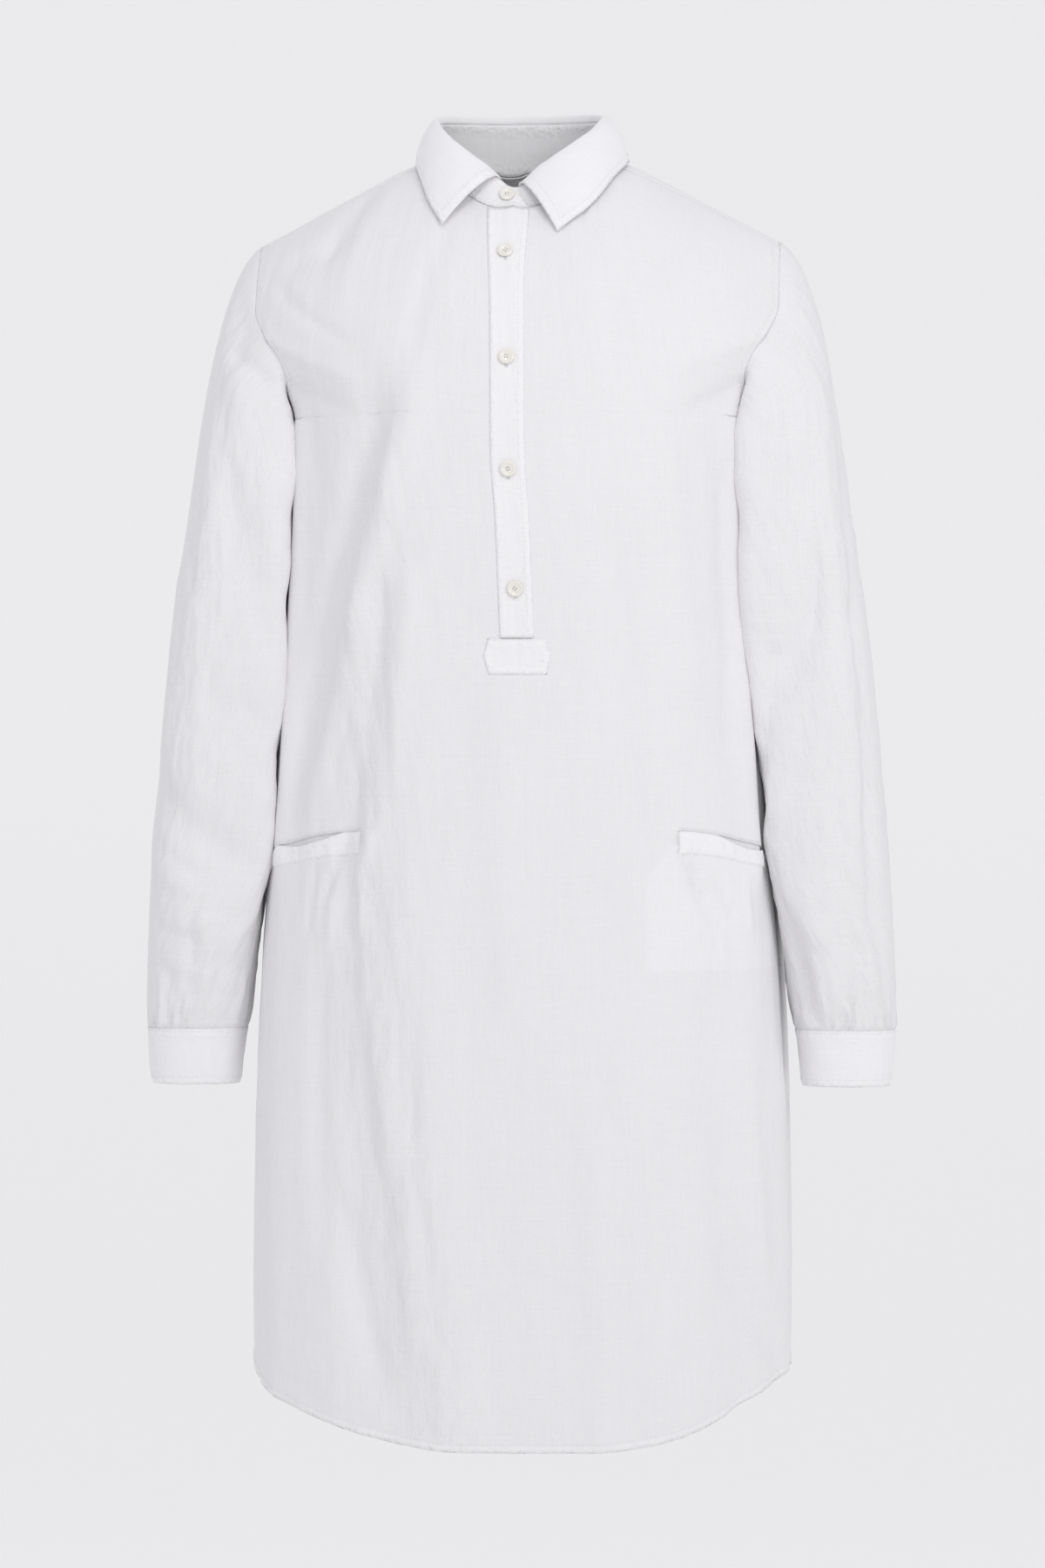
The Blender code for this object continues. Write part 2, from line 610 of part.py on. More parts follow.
def cuff_place(side, turn, z, out=0.0):
    """A place on the cuff's strip. Its first end lies under its last, so it starts one layer in."""
    under = LAYER * (1 - smooth(CUFF_LAP, CUFF_LAP * 2.4, turn))
    rounding = 0.0035 * smooth(CUFF_BOTTOM_Z + 0.006, CUFF_BOTTOM_Z, z) ** 2
    return level_ring(side, turn + CUFF_LAP_AT - CUFF_LAP, z, out - under - rounding / 3)


def make_cuff(name, side):
    top = CUFF_TOP_Z - SEAM
    turns = steps(0, 2 * pi + CUFF_LAP, 27)
    order = turns if side < 0 else list(reversed(turns))
    cloth("cuff_" + name, order, [CUFF_BOTTOM_Z, -0.676, -0.660, top],
          lambda turn, z: cuff_place(side, turn, z))


# ---------------------------------------------------------------- collar


def under_lap(angle):
    """How far in the stand lies where its right end runs under the left one."""
    if angle > -pi:
        return 0.0
    return LAP_INSET * smooth(-2 * pi + 3.2 * STAND_LAP, -2 * pi + 1.2 * STAND_LAP, angle)


def stand_place(angle, up):
    """A place on the stand's strip, which runs from its under end, at -(360 + lap) degrees at the
    left of the centre front, round the back to its upper end, at +lap degrees."""
    at_top = angle * (1 - LAP_SLANT) if angle > 0 else angle
    top = between(STAND_TOP, abs(degrees((at_top + pi) % (2 * pi) - pi)))
    foot = on_dome(*around_neck(NECK_RADIUS, angle), SEAM)
    foot.z += SEAM
    head = Vector((*around_neck(top.radius, at_top), top.z))
    return foot.lerp(head, up) + Vector((-sin(angle), cos(angle), 0)) * under_lap(angle)


def stand_angles():
    """Angles of the stand's columns: those of the panels' neck edges, and its two lapped ends."""
    front = [(across, asin(top_x("front", across) / NECK_RADIUS)) for across in FRONT_COLUMNS
             if abs(across) < NECK_CORNER]
    under = [angle - 2 * pi for across, angle in front if across >= -LAP_ACROSS]
    back = [turn - 2 * pi for _, _, turn in yoke_stops()]
    upper = [angle for across, angle in front if across <= LAP_ACROSS]
    return under + back + upper


def make_stand():
    cloth("collar_stand", stand_angles(), steps(0.0, 1.0, 4), stand_place)


def leaf_place(angle, down):
    """A place on the leaf's visible face, from its roll on the stand to its free edge."""
    top = between(STAND_TOP, abs(degrees((angle + pi) % (2 * pi) - pi)))
    rows = [LeafEdge(-row.angle, row.x, row.y) for row in LEAF_EDGE]
    edge_row = between(rows, -degrees(angle))
    edge = on_dome(edge_row.x, edge_row.y, LEAF_CLEARANCE)
    outward = Vector((sin(angle), -cos(angle), 0))
    start = Vector((*around_neck(top.radius - WALL - under_lap(angle), angle), top.z + 4 * SEAM))
    rise = start + outward * 0.002 + Vector((0, 0, top.roll_rise))
    fall = start.lerp(edge, 0.55) + outward * LEAF_SWELL + Vector((0, 0, 0.009))
    u = 1 - down
    return start * u**3 + rise * (3 * u * u * down) + fall * (3 * u * down * down) + edge * down**3


def make_leaf():
    first, last = LEAF_EDGE[-1].angle - 0.5, LEAF_EDGE[0].angle + 0.5
    angles = [angle for angle in stand_angles() if first < degrees(angle) < last]
    cloth("collar_leaf", angles, [1.0, 0.80, 0.58, 0.38, 0.22, 0.10, 0.0], leaf_place)


# ---------------------------------------------------------------- placket, tab and pockets


def across_at(x, row):
    """How far across the front a distance from its middle comes, on a row."""
    rise = panel_rise("front", 0.0, row)
    return angle_of(x, rise) / panel_angle("back", 1.0, rise)


def make_placket():
    rows = [TAB_ROWS[2] + SEAM] + [row for row in FRONT_ROWS if row > TAB_ROWS[2]][:-1] + [PLACKET_TOP]
    half = PLACKET_WIDTH / 2

    def upper(side, row):
        flare = PLACKET_FLARE * smooth(0.5, 1.0, row)
        return on_front(across_at(side * (half + flare), row), row, PLACKET_OUT)

    def under(side, row):
        return on_front(across_at(side * (half - 0.001), row), min(row, UNDER_TOP), -LAYER)

    sides = [-1.0, -0.3, 0.3, 1.0]
    cloth("placket_top", sides, rows, upper)
    cloth("placket_under", sides, rows, under)


def make_tab():
    def place(column, row):
        share = (row - TAB_ROWS[0]) / (TAB_ROWS[2] - TAB_ROWS[0])
        half = TAB_WIDTH / 2 + TAB_POINT * (1 - abs(2 * share - 1))
        return on_front(across_at(column * half, row), row, LAYER)

    cloth("placket_tab", [-1.0, -0.6, -0.12, 0.12, 0.6, 1.0], TAB_ROWS, place)


def make_pocket(name, side):
    inside = [column for column in HALF_FRONT if POCKET_ACROSS[0] < column < POCKET_ACROSS[1]]
    foot = MOUTH_ROW - POCKET_GAPE - SEAM

    def strip(kind, margin, top, bottom, out):
        columns = [POCKET_ACROSS[0] - margin] + inside + [POCKET_ACROSS[1] + margin]
        if margin:
            columns = sorted(columns + list(POCKET_ACROSS))
        rows = [bottom] + [row for row in FRONT_ROWS if bottom < row < top] + [top]
        columns = [side * column for column in columns]
        cloth(kind + name, sorted(columns), rows, lambda across, row: on_front(across, row, out))

    strip("pocket_welt_", 0.0, foot, foot - WELT_HEIGHT, LAYER)
    strip("pocket_bag_", BAG_MARGIN, MOUTH_ROW + BAG_ABOVE_MOUTH, foot - BAG_DEPTH, -LAYER - SEAM)


# ---------------------------------------------------------------- buttons


def make_button(name, centre, normal):
    """A turned disc with a raised rim, on the cloth at a place and facing along its normal."""
    half = BUTTON_RADIUS
    profile = [(0.0, 0.72), (0.55, 0.72), (0.78, 1.0), (1.0, 0.62), (0.96, 0.2), (0.7, 0.0), (0.0, 0.0)]
    mesh = bpy.data.meshes.new(name)
    points = [(share * half, 0, height * BUTTON_THICKNESS) for share, height in profile]
    mesh.from_pydata(points, [(i, i + 1) for i in range(len(points) - 1)], [])
    button = bpy.data.objects.new(name, mesh)
    collection.objects.link(button)
    turned = button.modifiers.new("Turned", "SCREW")
    turned.steps = turned.render_steps = 14
    turned.use_merge_vertices = True
    turned.merge_threshold = 0.00001
    turned.use_smooth_shade = True
    button.location = centre + normal * BUTTON_SEAT
    button.rotation_mode = "QUATERNION"
    button.rotation_quaternion = Vector((0, 0, 1)).rotation_difference(normal)
    paint(button, SHELL_CREAM, 0.25)


def facing(place, a, b, c, d):
    """Centre and outward normal of a surface at its middle, from four of its points round it."""
    normal = (b - a).cross(d - c).normalized()
    if normal.dot(Vector((place.x, place.y - 0.02, 0))) < 0:
        normal.negate()
    return place, normal


BUTTON_Z = [-0.071, -0.150, -0.231, -0.317]


def make_buttons():
    angle, up, step = radians(-4.6), 0.55, 0.03
    centre, normal = facing(stand_place(angle, up), stand_place(angle - step, up),
                            stand_place(angle + step, up), stand_place(angle, up - step),
                            stand_place(angle, up + step))
    make_button("button_1", centre, normal)
    for number, z in enumerate(BUTTON_Z, start=2):
        row = z - ARMPIT_Z
        if row > 0:
            row = where(lambda r: panel_place("front", 0.0, r).z - z, 0.0, 0.99)
        spots = [on_front(a, row + b, PLACKET_OUT)
                 for a, b in ((0, 0), (-0.02, 0), (0.02, 0), (0, -0.004), (0, 0.004))]
        make_button("button_%d" % number, *facing(*spots))
    for name, side in (("left", -1), ("right", 1)):
        turn, z = 2 * pi + CUFF_LAP * 0.45, (CUFF_TOP_Z + CUFF_BOTTOM_Z) / 2
        spots = [cuff_place(side, turn + a, z + b)
                 for a, b in ((0, 0), (-0.05, 0), (0.05, 0), (0, -0.003), (0, 0.003))]
        centre, normal = facing(*spots)
        middle = Vector((side * 0.243, 0, z))
        if normal.dot(centre - middle) < 0:
            normal.negate()
        make_button("button_cuff_" + name, centre, normal)


def main():
    global collection
    for thing in list(bpy.data.objects):
        bpy.data.objects.remove(thing, do_unlink=True)
    collection = bpy.data.collections.new("long linen shirt")
    bpy.context.scene.collection.children.link(collection)
    make_front()
    make_back()
    make_yoke()
    for name, side in (("left", -1), ("right", 1)):
        make_sleeve(name, side)
        make_cuff(name, side)
        make_pocket(name, side)
    make_stand()
    make_leaf()
    make_placket()
    make_tab()
    make_buttons()


main()
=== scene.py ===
"""A long white linen popover shirt, filled out as it hangs on a general figure.

Metres, +Z up, the front faces -Y and +X is the viewer's right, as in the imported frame.
"""
from math import atan2, cos, pi, radians, sin, tau

import bmesh
import bpy
import numpy as np
from mathutils import Matrix, Vector, noise


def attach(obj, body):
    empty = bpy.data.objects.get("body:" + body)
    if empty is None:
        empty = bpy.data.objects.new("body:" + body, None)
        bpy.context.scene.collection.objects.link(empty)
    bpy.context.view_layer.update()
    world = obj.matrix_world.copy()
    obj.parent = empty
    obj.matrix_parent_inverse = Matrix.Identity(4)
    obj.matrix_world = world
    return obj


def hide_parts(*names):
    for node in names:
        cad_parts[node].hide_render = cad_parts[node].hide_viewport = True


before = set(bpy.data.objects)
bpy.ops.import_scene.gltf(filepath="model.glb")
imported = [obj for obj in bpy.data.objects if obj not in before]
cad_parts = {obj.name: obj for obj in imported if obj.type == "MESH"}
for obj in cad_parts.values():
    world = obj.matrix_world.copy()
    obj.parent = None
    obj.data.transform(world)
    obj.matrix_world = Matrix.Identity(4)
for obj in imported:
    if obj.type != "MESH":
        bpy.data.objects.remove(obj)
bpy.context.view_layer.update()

# ---------------------------------------------------------------- camera, light and floor
# A long lens a little to the right of the front, level with the hips, in even studio light, with
# a soft box high to the right of the lens, one above it and one behind the shirt.

CAMERA_TURN = radians(4.5)
CAMERA_AWAY = 3.8
CAMERA_Z = -0.458
CAMERA_SIDESTEP = 0.0013
SEEN_HEIGHT = 1.170

lens = bpy.data.cameras.new("camera")
lens.sensor_fit = "VERTICAL"
lens.sensor_height = 36.0
lens.lens = lens.sensor_height * CAMERA_AWAY / SEEN_HEIGHT
lens.clip_end = 100.0
camera = bpy.data.objects.new("camera", lens)
camera.location = (CAMERA_AWAY * sin(CAMERA_TURN) + CAMERA_SIDESTEP * cos(CAMERA_TURN),
                   -CAMERA_AWAY * cos(CAMERA_TURN) + CAMERA_SIDESTEP * sin(CAMERA_TURN), CAMERA_Z)
camera.rotation_euler = (pi / 2, 0, CAMERA_TURN)
bpy.context.scene.collection.objects.link(camera)
bpy.context.scene.camera = camera


def soft_light(name, place, aim, size, watts):
    """A square soft box at a place, facing another."""
    box = bpy.data.lights.new(name, "AREA")
    box.shape = "SQUARE"
    box.size = size
    box.energy = watts
    light = bpy.data.objects.new(name, box)
    light.location = place
    light.rotation_mode = "QUATERNION"
    light.rotation_quaternion = (Vector(place) - Vector(aim)).to_track_quat("Z", "Y")
    light.visible_camera = False
    bpy.context.scene.collection.objects.link(light)


soft_light("right", (1.8, -2.6, 0.70), (0, 0, -0.50), 0.8, 15)
soft_light("high", (0.15, -1.6, 1.3), (0, 0, -0.1), 0.6, 6)
soft_light("behind", (-1.3, 2.6, 0.6), (0, 0, -0.4), 1.4, 8)
bpy.context.scene.view_settings.view_transform = "Standard"

world = bpy.data.worlds.new("studio")
world.use_nodes = True
world.node_tree.nodes["Background"].inputs["Color"].default_value = (0.975, 0.965, 1.0, 1)
world.node_tree.nodes["Background"].inputs["Strength"].default_value = 0.68
bpy.context.scene.world = world

FLOOR_Z, FLOOR_REACH, BACKDROP_TOP_Z = -2.2, 40.0, 4.0
SWEEP_Y, SWEEP_RADIUS = 7.2, 2.0     # where the floor turns up into the backdrop


def finish(name, values):
    """A material with these values on its shader."""
    material = bpy.data.materials.new(name)
    material.use_nodes = True
    for socket, value in values.items():
        material.node_tree.nodes["Principled BSDF"].inputs[socket].default_value = value
    return material


def as_object(name, shape, material=None, smooth=True):
    """An object at the origin, made from a bmesh that is finished."""
    mesh = bpy.data.meshes.new(name)
    shape.to_mesh(mesh)
    shape.free()
    if material:
        mesh.materials.append(material)
    for face in mesh.polygons:
        face.use_smooth = smooth
    thing = bpy.data.objects.new(name, mesh)
    bpy.context.scene.collection.objects.link(thing)
    return thing


def studio_floor():
    """Floor and backdrop in one sheet with a rounded turn between them."""
    sheet = bmesh.new()

    def pulled(edges, axis, to):
        """Pull edges out into new faces, as far as a place on one axis."""
        new = bmesh.ops.extrude_edge_only(sheet, edges=edges)["geom"]
        ends = [part for part in new if isinstance(part, bmesh.types.BMVert)]
        for vertex in ends:
            vertex.co[axis] = to
        return ends + [part for part in new if isinstance(part, bmesh.types.BMEdge)]

    near = [sheet.verts.new((x, -FLOOR_REACH, FLOOR_Z)) for x in (-FLOOR_REACH, FLOOR_REACH)]
    bmesh.ops.spin(sheet, geom=pulled([sheet.edges.new(near)], 1, SWEEP_Y), axis=(1, 0, 0), angle=pi / 2,
                   cent=(0, SWEEP_Y, FLOOR_Z + SWEEP_RADIUS), steps=24)
    top = max(vertex.co.z for vertex in sheet.verts) - 0.001
    pulled([edge for edge in sheet.edges if all(v.co.z > top for v in edge.verts)], 2, BACKDROP_TOP_Z)
    bmesh.ops.recalc_face_normals(sheet, faces=sheet.faces)
    as_object("floor", sheet, finish("floor_paint", {
        "Base Color": (0.80, 0.80, 0.80, 1), "Roughness": 0.9,
        "Emission Color": (1, 1, 1, 1), "Emission Strength": 0.235}))


studio_floor()

# ---------------------------------------------------------------- front
# One panel of white linen from the yoke seams and the neck to the shirt-tail hem, slit down the
# middle for the half placket and across at each side for a pocket mouth. The whole body is one
# surface in rings below the armpit and a shoulder dome above it, and each panel is cut from it.

ARMPIT_Z = -0.190
CHEST_POWER = 2.4
HEM_FRONT_Z = -0.940
HEM_SIDE_RISE = 0.050
HEM_TURNS_UP = (radians(12), radians(86))
FRONT_LEAN, NECK_LEAN = radians(5.0), radians(-1.15)
SHOULDER_SLOPE, SHOULDER_AT_CENTRE, NECK_TOP_Z = 0.53, 0.047, 0.014
DOME_POWER = {"front": 1.75, "back": 3.0}
DOME_WIDTH, DOME_WIDENS_BY = 0.209, radians(35)
ARMHOLE_X = (0.169, 0.194)
ARMHOLE_WIDENS = (radians(12), radians(42))
NECK_RADIUS, NECK_CENTRE_Y = 0.066, -0.008
YOKE_FRONT = ((0.0635, -0.026), (0.194, -0.012))
SEAM = 0.0003                 # gap between pieces at a seam
LAYER = 0.0015                # from one layer to the next one on it
SKIN, FOLDED, STIFFENED = 0.0007, 0.0009, 0.0010      # thickness of one, two and stiffened layers

BODY_RINGS = [                # z, half width, depth to the front, depth to the back
    (-0.960, 0.197, 0.134, 0.130),
    (-0.840, 0.199, 0.136, 0.130),
    (-0.700, 0.197, 0.136, 0.128),
    (-0.600, 0.193, 0.133, 0.124),
    (-0.500, 0.186, 0.129, 0.118),
    (-0.380, 0.178, 0.126, 0.112),
    (-0.260, 0.171, 0.130, 0.112),
    (-0.190, 0.169, 0.129, 0.112),
]
# folds: from an angle round the body (degrees from the centre front, positive to the viewer's
# right) and a height in millimetres, to another such pair, with the half width and the height of
# the ridge (+) or trough (-), in millimetres too
BODY_FOLDS = [
    (-50, -240, -54, -600, 35, -5), (-34, -210, -53, -410, 20, -5), (-40, -420, -38, -570, 26, -6),
    (-35, -670, -26, -880, 26, -7), (-23, -260, -22, -560, 26, 3), (-18, -620, -12, -900, 26, 4),
    (-58, -620, -56, -950, 24, 4), (48, -620, 56, -950, 30, -7), (30, -700, 34, -960, 28, 5),
    (74, -700, 78, -950, 26, 5), (38, -240, 34, -460, 30, 3), (132, -260, 126, -950, 36, -8),
    (-128, -300, -130, -950, 36, -8), (158, -400, 160, -960, 30, 7), (-160, -360, -156, -960, 30, 6),
    (180, -140, 180, -700, 28, -5), (104, -550, 108, -950, 28, 6), (-104, -600, -106, -950, 28, 6),
]
# smaller creases, in the same columns
FRONT_CREASES = [
    (-31, -25, -38, -62, 9, -3), (-38, -62, -46, -72, 9, -2.5), (-27, -30, -33, -85, 12, 2),
    (-50, -100, -38, -130, 7, -2.1), (-55, -135, -40, -160, 8, 2.1), (-60, -165, -44, -185, 7, -1.9),
    (52, -90, 40, -110, 8, -1.8), (58, -130, 42, -150, 8, 1.8), (62, -165, 48, -185, 7, -1.8),
    (-14, -60, -20, -130, 8, -1.8), (16, -65, 24, -140, 9, -1.8), (-27, -215, -37, -330, 10, 2.7),
    (-40, -250, -52, -350, 7, -2.4), (-34, -420, -33, -560, 7, 2.7), (-28, -400, -27, -500, 5, -2.2),
    (-30, -580, -25, -720, 8, 3.1), (-44, -600, -41, -780, 10, -3.4), (-24, -700, -19, -860, 8, 2.4),
    (-20, -660, -17, -800, 5, -2.2), (-35, -774, -29, -866, 10, -4.1), (26, -300, 28, -470, 14, -2.4),
    (40, -220, 44, -400, 12, 2.4), (60, -250, 57, -420, 14, -3.4), (-2, -410, 1, -600, 16, 2.4),
    (33, -660, 37, -880, 12, -3.1), (18, -720, 20, -930, 12, 2.4), (58, -660, 62, -800, 12, 3.1),
    (53, -814, 72, -886, 14, -5.1),
    # gathers under the left pocket
    (-40, -509, -43, -534, 4.5, -3.6), (-31, -498, -33, -520, 5, 3.6), (-33, -500, -35, -545, 4, -2.5),
    (-41, -521, -42, -569, 4.5, 2.9), (-36, -512, -37, -559, 4.5, -2.9), (-48, -522, -49, -560, 4, -2.2),
    # and under the right one
    (39, -510, 43, -532, 4.2, -3.2), (43, -532, 49, -570, 4.5, -2.9), (43, -517, 45, -537, 4, -2.9),
    (45, -537, 55, -588, 4.5, -2.5), (49, -529, 53, -549, 4, -2.5), (41, -512, 46, -545, 4, 2.3),
    (60, -535, 61, -560, 4, 2.2),
    # along the sleeves, which press the sides of the body
    (-64, -200, -64, -500, 13, 5), (64, -190, 65, -510, 13, 5.5),
    # the long shadow that slants down to the left, and the narrow one below it
    (-25, -190, -48, -450, 17, 5), (-35, -200, -57, -440, 16, -4.5), (-23, -320, -29, -500, 9, 3.2),
    (-30, -320, -36, -500, 9, -3.2),
]
BACK_CREASES = [
    (170, -100, 166, -240, 10, -2.7), (-172, -100, -166, -220, 10, -2.7), (150, -110, 138, -180, 10, -2.4),
    (-148, -115, -139, -185, 10, -2.4), (122, -140, 140, -190, 9, 2.1), (-120, -150, -138, -190, 9, 2.1),
    (173, -300, 171, -520, 12, 2.7), (-170, -340, -167, -560, 12, -2.7), (146, -420, 149, -640, 11, -2.7),
    (-146, -450, -143, -700, 12, 2.7), (166, -660, 169, -900, 12, 2.7), (-178, -720, -175, -920, 11, -2.4),
    (116, -360, 118, -520, 10, -2.7), (-116, -330, -119, -500, 10, -2.7), (140, -760, 137, -930, 11, 2.4),
    (-134, -740, -131, -920, 11, -2.7),
]
# how far round from the centre front the most crushed cloth lies, by height, where the lit
# middle of the front turns to its left side
CRUSHED_LINE = [(-0.90, -16), (-0.80, -21), (-0.70, -25), (-0.60, -29), (-0.50, -33), (-0.40, -34),
                (-0.30, -34), (-0.20, -32)]
CRUSHED_WIDTH = 11
FLAT_AT_SEAM = 0.016          # how near the yoke seam creases die out


def smooth(low, high, at):
    """0 below low, 1 above high, and an even S between them."""
    t = np.clip((at - low) / (high - low), 0.0, 1.0)
    return t * t * (3.0 - 2.0 * t)


def between(table, at):
    """The columns of a table at values of its first one, on smooth curves through its rows."""
    table = np.array(table, float)
    keys = table[:, 0]
    slopes = np.gradient(table, axis=0)
    slopes[1:-1] = (table[2:] - table[:-2]) / (keys[2:] - keys[:-2])[:, None]
    slopes[0] = (table[1] - table[0]) / (keys[1] - keys[0])
    slopes[-1] = (table[-1] - table[-2]) / (keys[-1] - keys[-2])
    at = np.clip(at, keys[0], keys[-1])
    i = np.clip(np.searchsorted(keys, at, side="right") - 1, 0, len(keys) - 2)
    step = keys[i + 1] - keys[i]
    t = (at - keys[i]) / step
    weights = [2 * t**3 - 3 * t**2 + 1, 3 * t**2 - 2 * t**3,
               step * (t**3 - 2 * t**2 + t), step * (t**3 - t**2)]
    parts = [table[i], table[i + 1], slopes[i], slopes[i + 1]]
    found = sum(weight[..., None] * part for weight, part in zip(weights, parts))
    return np.moveaxis(found, -1, 0)[1:]


def halve(test, low, high, shape):
    """For each place of a shape, the value at which test turns positive."""
    low, high = np.full(shape, low, float), np.full(shape, high, float)
    for _ in range(34):
        middle = (low + high) / 2
        above = test(middle) > 0
        low, high = np.where(above, low, middle), np.where(above, middle, high)
    return (low + high) / 2


def fold_height(folds, around, z, radius):
    """How far folds lift places that lie `around` degrees round a tube of that radius."""
    height = np.zeros(np.broadcast(around, z).shape)
    for turn_a, z_a, turn_b, z_b, width, rise in folds:
        z_a, z_b, width, rise = (size / 1000 for size in (z_a, z_b, width, rise))
        ax = np.radians((around - turn_a + 180) % 360 - 180) * radius
        az = z - z_a
        bx, bz = np.radians(turn_b - turn_a) * radius, z_b - z_a
        length = np.hypot(bx, bz)
        along = (ax * bx + az * bz) / length
        off = (ax * bz - az * bx) / length
        beyond = np.maximum(np.maximum(-along, along - length), 0)
        height += rise * np.exp(-(off / width) ** 2 - (beyond / (2 * width)) ** 2)
    return height


def shoulder_z(x):
    """Height of the shoulder line, flattened over the neck hole."""
    rounding = 0.012
    x = abs(x)
    return (SHOULDER_AT_CENTRE - SHOULDER_SLOPE * x - rounding * smooth(0.100, 0.0, x)
            - (SHOULDER_AT_CENTRE - rounding - NECK_TOP_Z) * smooth(0.060, 0.0, x))


def ring_at(rise):
    half_width, front, back = between(BODY_RINGS, ARMPIT_Z + np.minimum(rise, 0.0))
    return half_width + (DOME_WIDTH - ARMHOLE_X[0]) * smooth(0.0, DOME_WIDENS_BY, rise), front, back


def armhole_x(rise):
    return ARMHOLE_X[0] + (ARMHOLE_X[1] - ARMHOLE_X[0]) * smooth(*ARMHOLE_WIDENS, rise)


def angle_of(x, rise):
    """The angle round a ring at which the body reaches x."""
    share = np.minimum(abs(x) / ring_at(rise)[0], 1.0)
    return np.copysign(np.arctan2(share, (1 - share**CHEST_POWER) ** (1 / CHEST_POWER)), x)


def plain_body(face, angle, rise):
    """Places on the body before any folds, by face, angle and rise: metres below the armpit, or
    the angle up the shoulder dome."""
    half_width, front, back = ring_at(rise)
    s, c = np.sin(angle), np.cos(angle)
    reach = (abs(s) ** CHEST_POWER + abs(c) ** CHEST_POWER) ** (-1 / CHEST_POWER)
    up = np.clip(rise, 0, pi / 2)
    turn = 2 / DOME_POWER[face]
    x = half_width * reach * s
    y = (-front if face == "front" else back) * reach * c * np.maximum(np.cos(up), 0) ** turn
    z = np.where(rise <= 0, ARMPIT_Z + rise,
                 ARMPIT_Z + (shoulder_z(x) - ARMPIT_Z) * np.sin(up) ** turn)
    return np.stack([x, y, z], -1)


def body(face, angle, rise, out=0.0):
    """Places on the body with its largest folds, moved out along its normals."""
    step = 0.002
    across = plain_body(face, angle + step, rise) - plain_body(face, angle - step, rise)
    upward = plain_body(face, angle, rise + step) - plain_body(face, angle, rise - step)
    normal = np.cross(across, upward)
    normal /= np.linalg.norm(normal, axis=-1, keepdims=True)
    place = plain_body(face, angle, rise)
    normal *= np.where((normal * place)[..., :2].sum(-1) < 0, -1, 1)[..., None]
    around = np.degrees(angle) if face == "front" else 180 - np.degrees(angle)
    lift = out + fold_height(BODY_FOLDS, around, place[..., 2], ring_at(rise)[0])
    return place + normal * lift[..., None]


def panel_angle(face, across, rise):
    """The angle of places `across` a panel, from -1 to 1 between its side edges."""
    edge = np.full(np.shape(rise), pi / 2 - SEAM / 0.25)
    edge = np.where(rise > 0, np.minimum(edge, angle_of(armhole_x(rise) - SEAM / 2, rise)), edge)
    if face == "back":
        return across * edge
    below = np.maximum(-rise, 0)
    lean = FRONT_LEAN * (1 - np.exp(-below / 0.25)) * smooth(0.0, 0.08, below)
    at_neck = smooth(0.0, 1.0, rise) * smooth(0.225, 0.0, abs(across))
    return across * edge + lean * (1 - abs(across)) + NECK_LEAN * at_neck


def front_edge_y(x):
    """The y of the front's top edge in plan, on the neck circle and on the yoke seam."""
    (x0, y0), (x1, y1) = YOKE_FRONT
    x = abs(x)
    round_neck = NECK_CENTRE_Y - np.sqrt(np.maximum(NECK_RADIUS**2 - x * x, 0))
    return np.where(x < x0, round_neck, y0 + (y1 - y0) * (x - x0) / (x1 - x0) - SEAM / 2)


def front_top(across):
    def beyond(rise):
        place = plain_body("front", panel_angle("front", across, rise), rise)
        return place[..., 1] - front_edge_y(place[..., 0])
    return halve(beyond, 0.2, 1.55, np.shape(across))


YOKE_BACK_Z = -0.086


def back_top(across):
    def above(rise):
        return plain_body("back", panel_angle("back", across, rise), rise)[..., 2] - YOKE_BACK_Z + SEAM / 2
    return halve(above, 0.05, 1.5, np.shape(across))


POCKET_ACROSS = (36.4 / 90, 75.8 / 90)
POCKET_Z, POCKET_DROP, POCKET_GAPE = -0.492, 0.014, 0.003
TAB_TOP_Z, TAB_BOTTOM_Z = -0.353, -0.379
SLOT_ACROSS = 0.003 / 0.30


def panel_rise(face, across, row):
    """Rises of a panel's rows: below 0 metres under the armpit, above 0 a share of the way up."""
    top = front_top(across) if face == "front" else back_top(across)
    z = ARMPIT_Z + row
    hem = HEM_SIDE_RISE * smooth(*HEM_TURNS_UP, abs(across) * pi / 2) * smooth(-0.80, -0.93, z)
    slant = 0.0
    if face == "front":
        slant = -POCKET_DROP * smooth(*POCKET_ACROSS, abs(across)) * np.exp(-((z - POCKET_Z) / 0.05) ** 2)
    return np.where(row > 0, row * top, row + hem + slant)


def stops(marks, step):
    """Values that pass through every mark, evenly spread between each two of them."""
    values = [marks[0]]
    for low, high in zip(marks, marks[1:]):
        count = max(1, round(abs(high - low) / step))
        values += [low + (high - low) * (i + 1) / count for i in range(count)]
    return np.array(values)


def run_lengths(places, axis=0):
    """Lengths up the columns of a grid (axis 0) or along its rows (axis 1), from its first place."""
    steps = np.linalg.norm(np.diff(places, axis=axis), axis=-1)
    return np.insert(np.cumsum(steps, axis=axis), 0, 0, axis=axis)


def grid_normals(places, closed=False):
    """Outward normals of a grid of places, rows going up and columns to the viewer's right."""
    if closed:
        wide = np.concatenate([places[:, -2:-1], places, places[:, 1:2]], axis=1)
        across = (wide[:, 2:] - wide[:, :-2])
    else:
        across = np.gradient(places, axis=1)
    upward = np.gradient(places, axis=0)
    normal = np.cross(across, upward)
    return normal / np.maximum(np.linalg.norm(normal, axis=-1, keepdims=True), 1e-12)


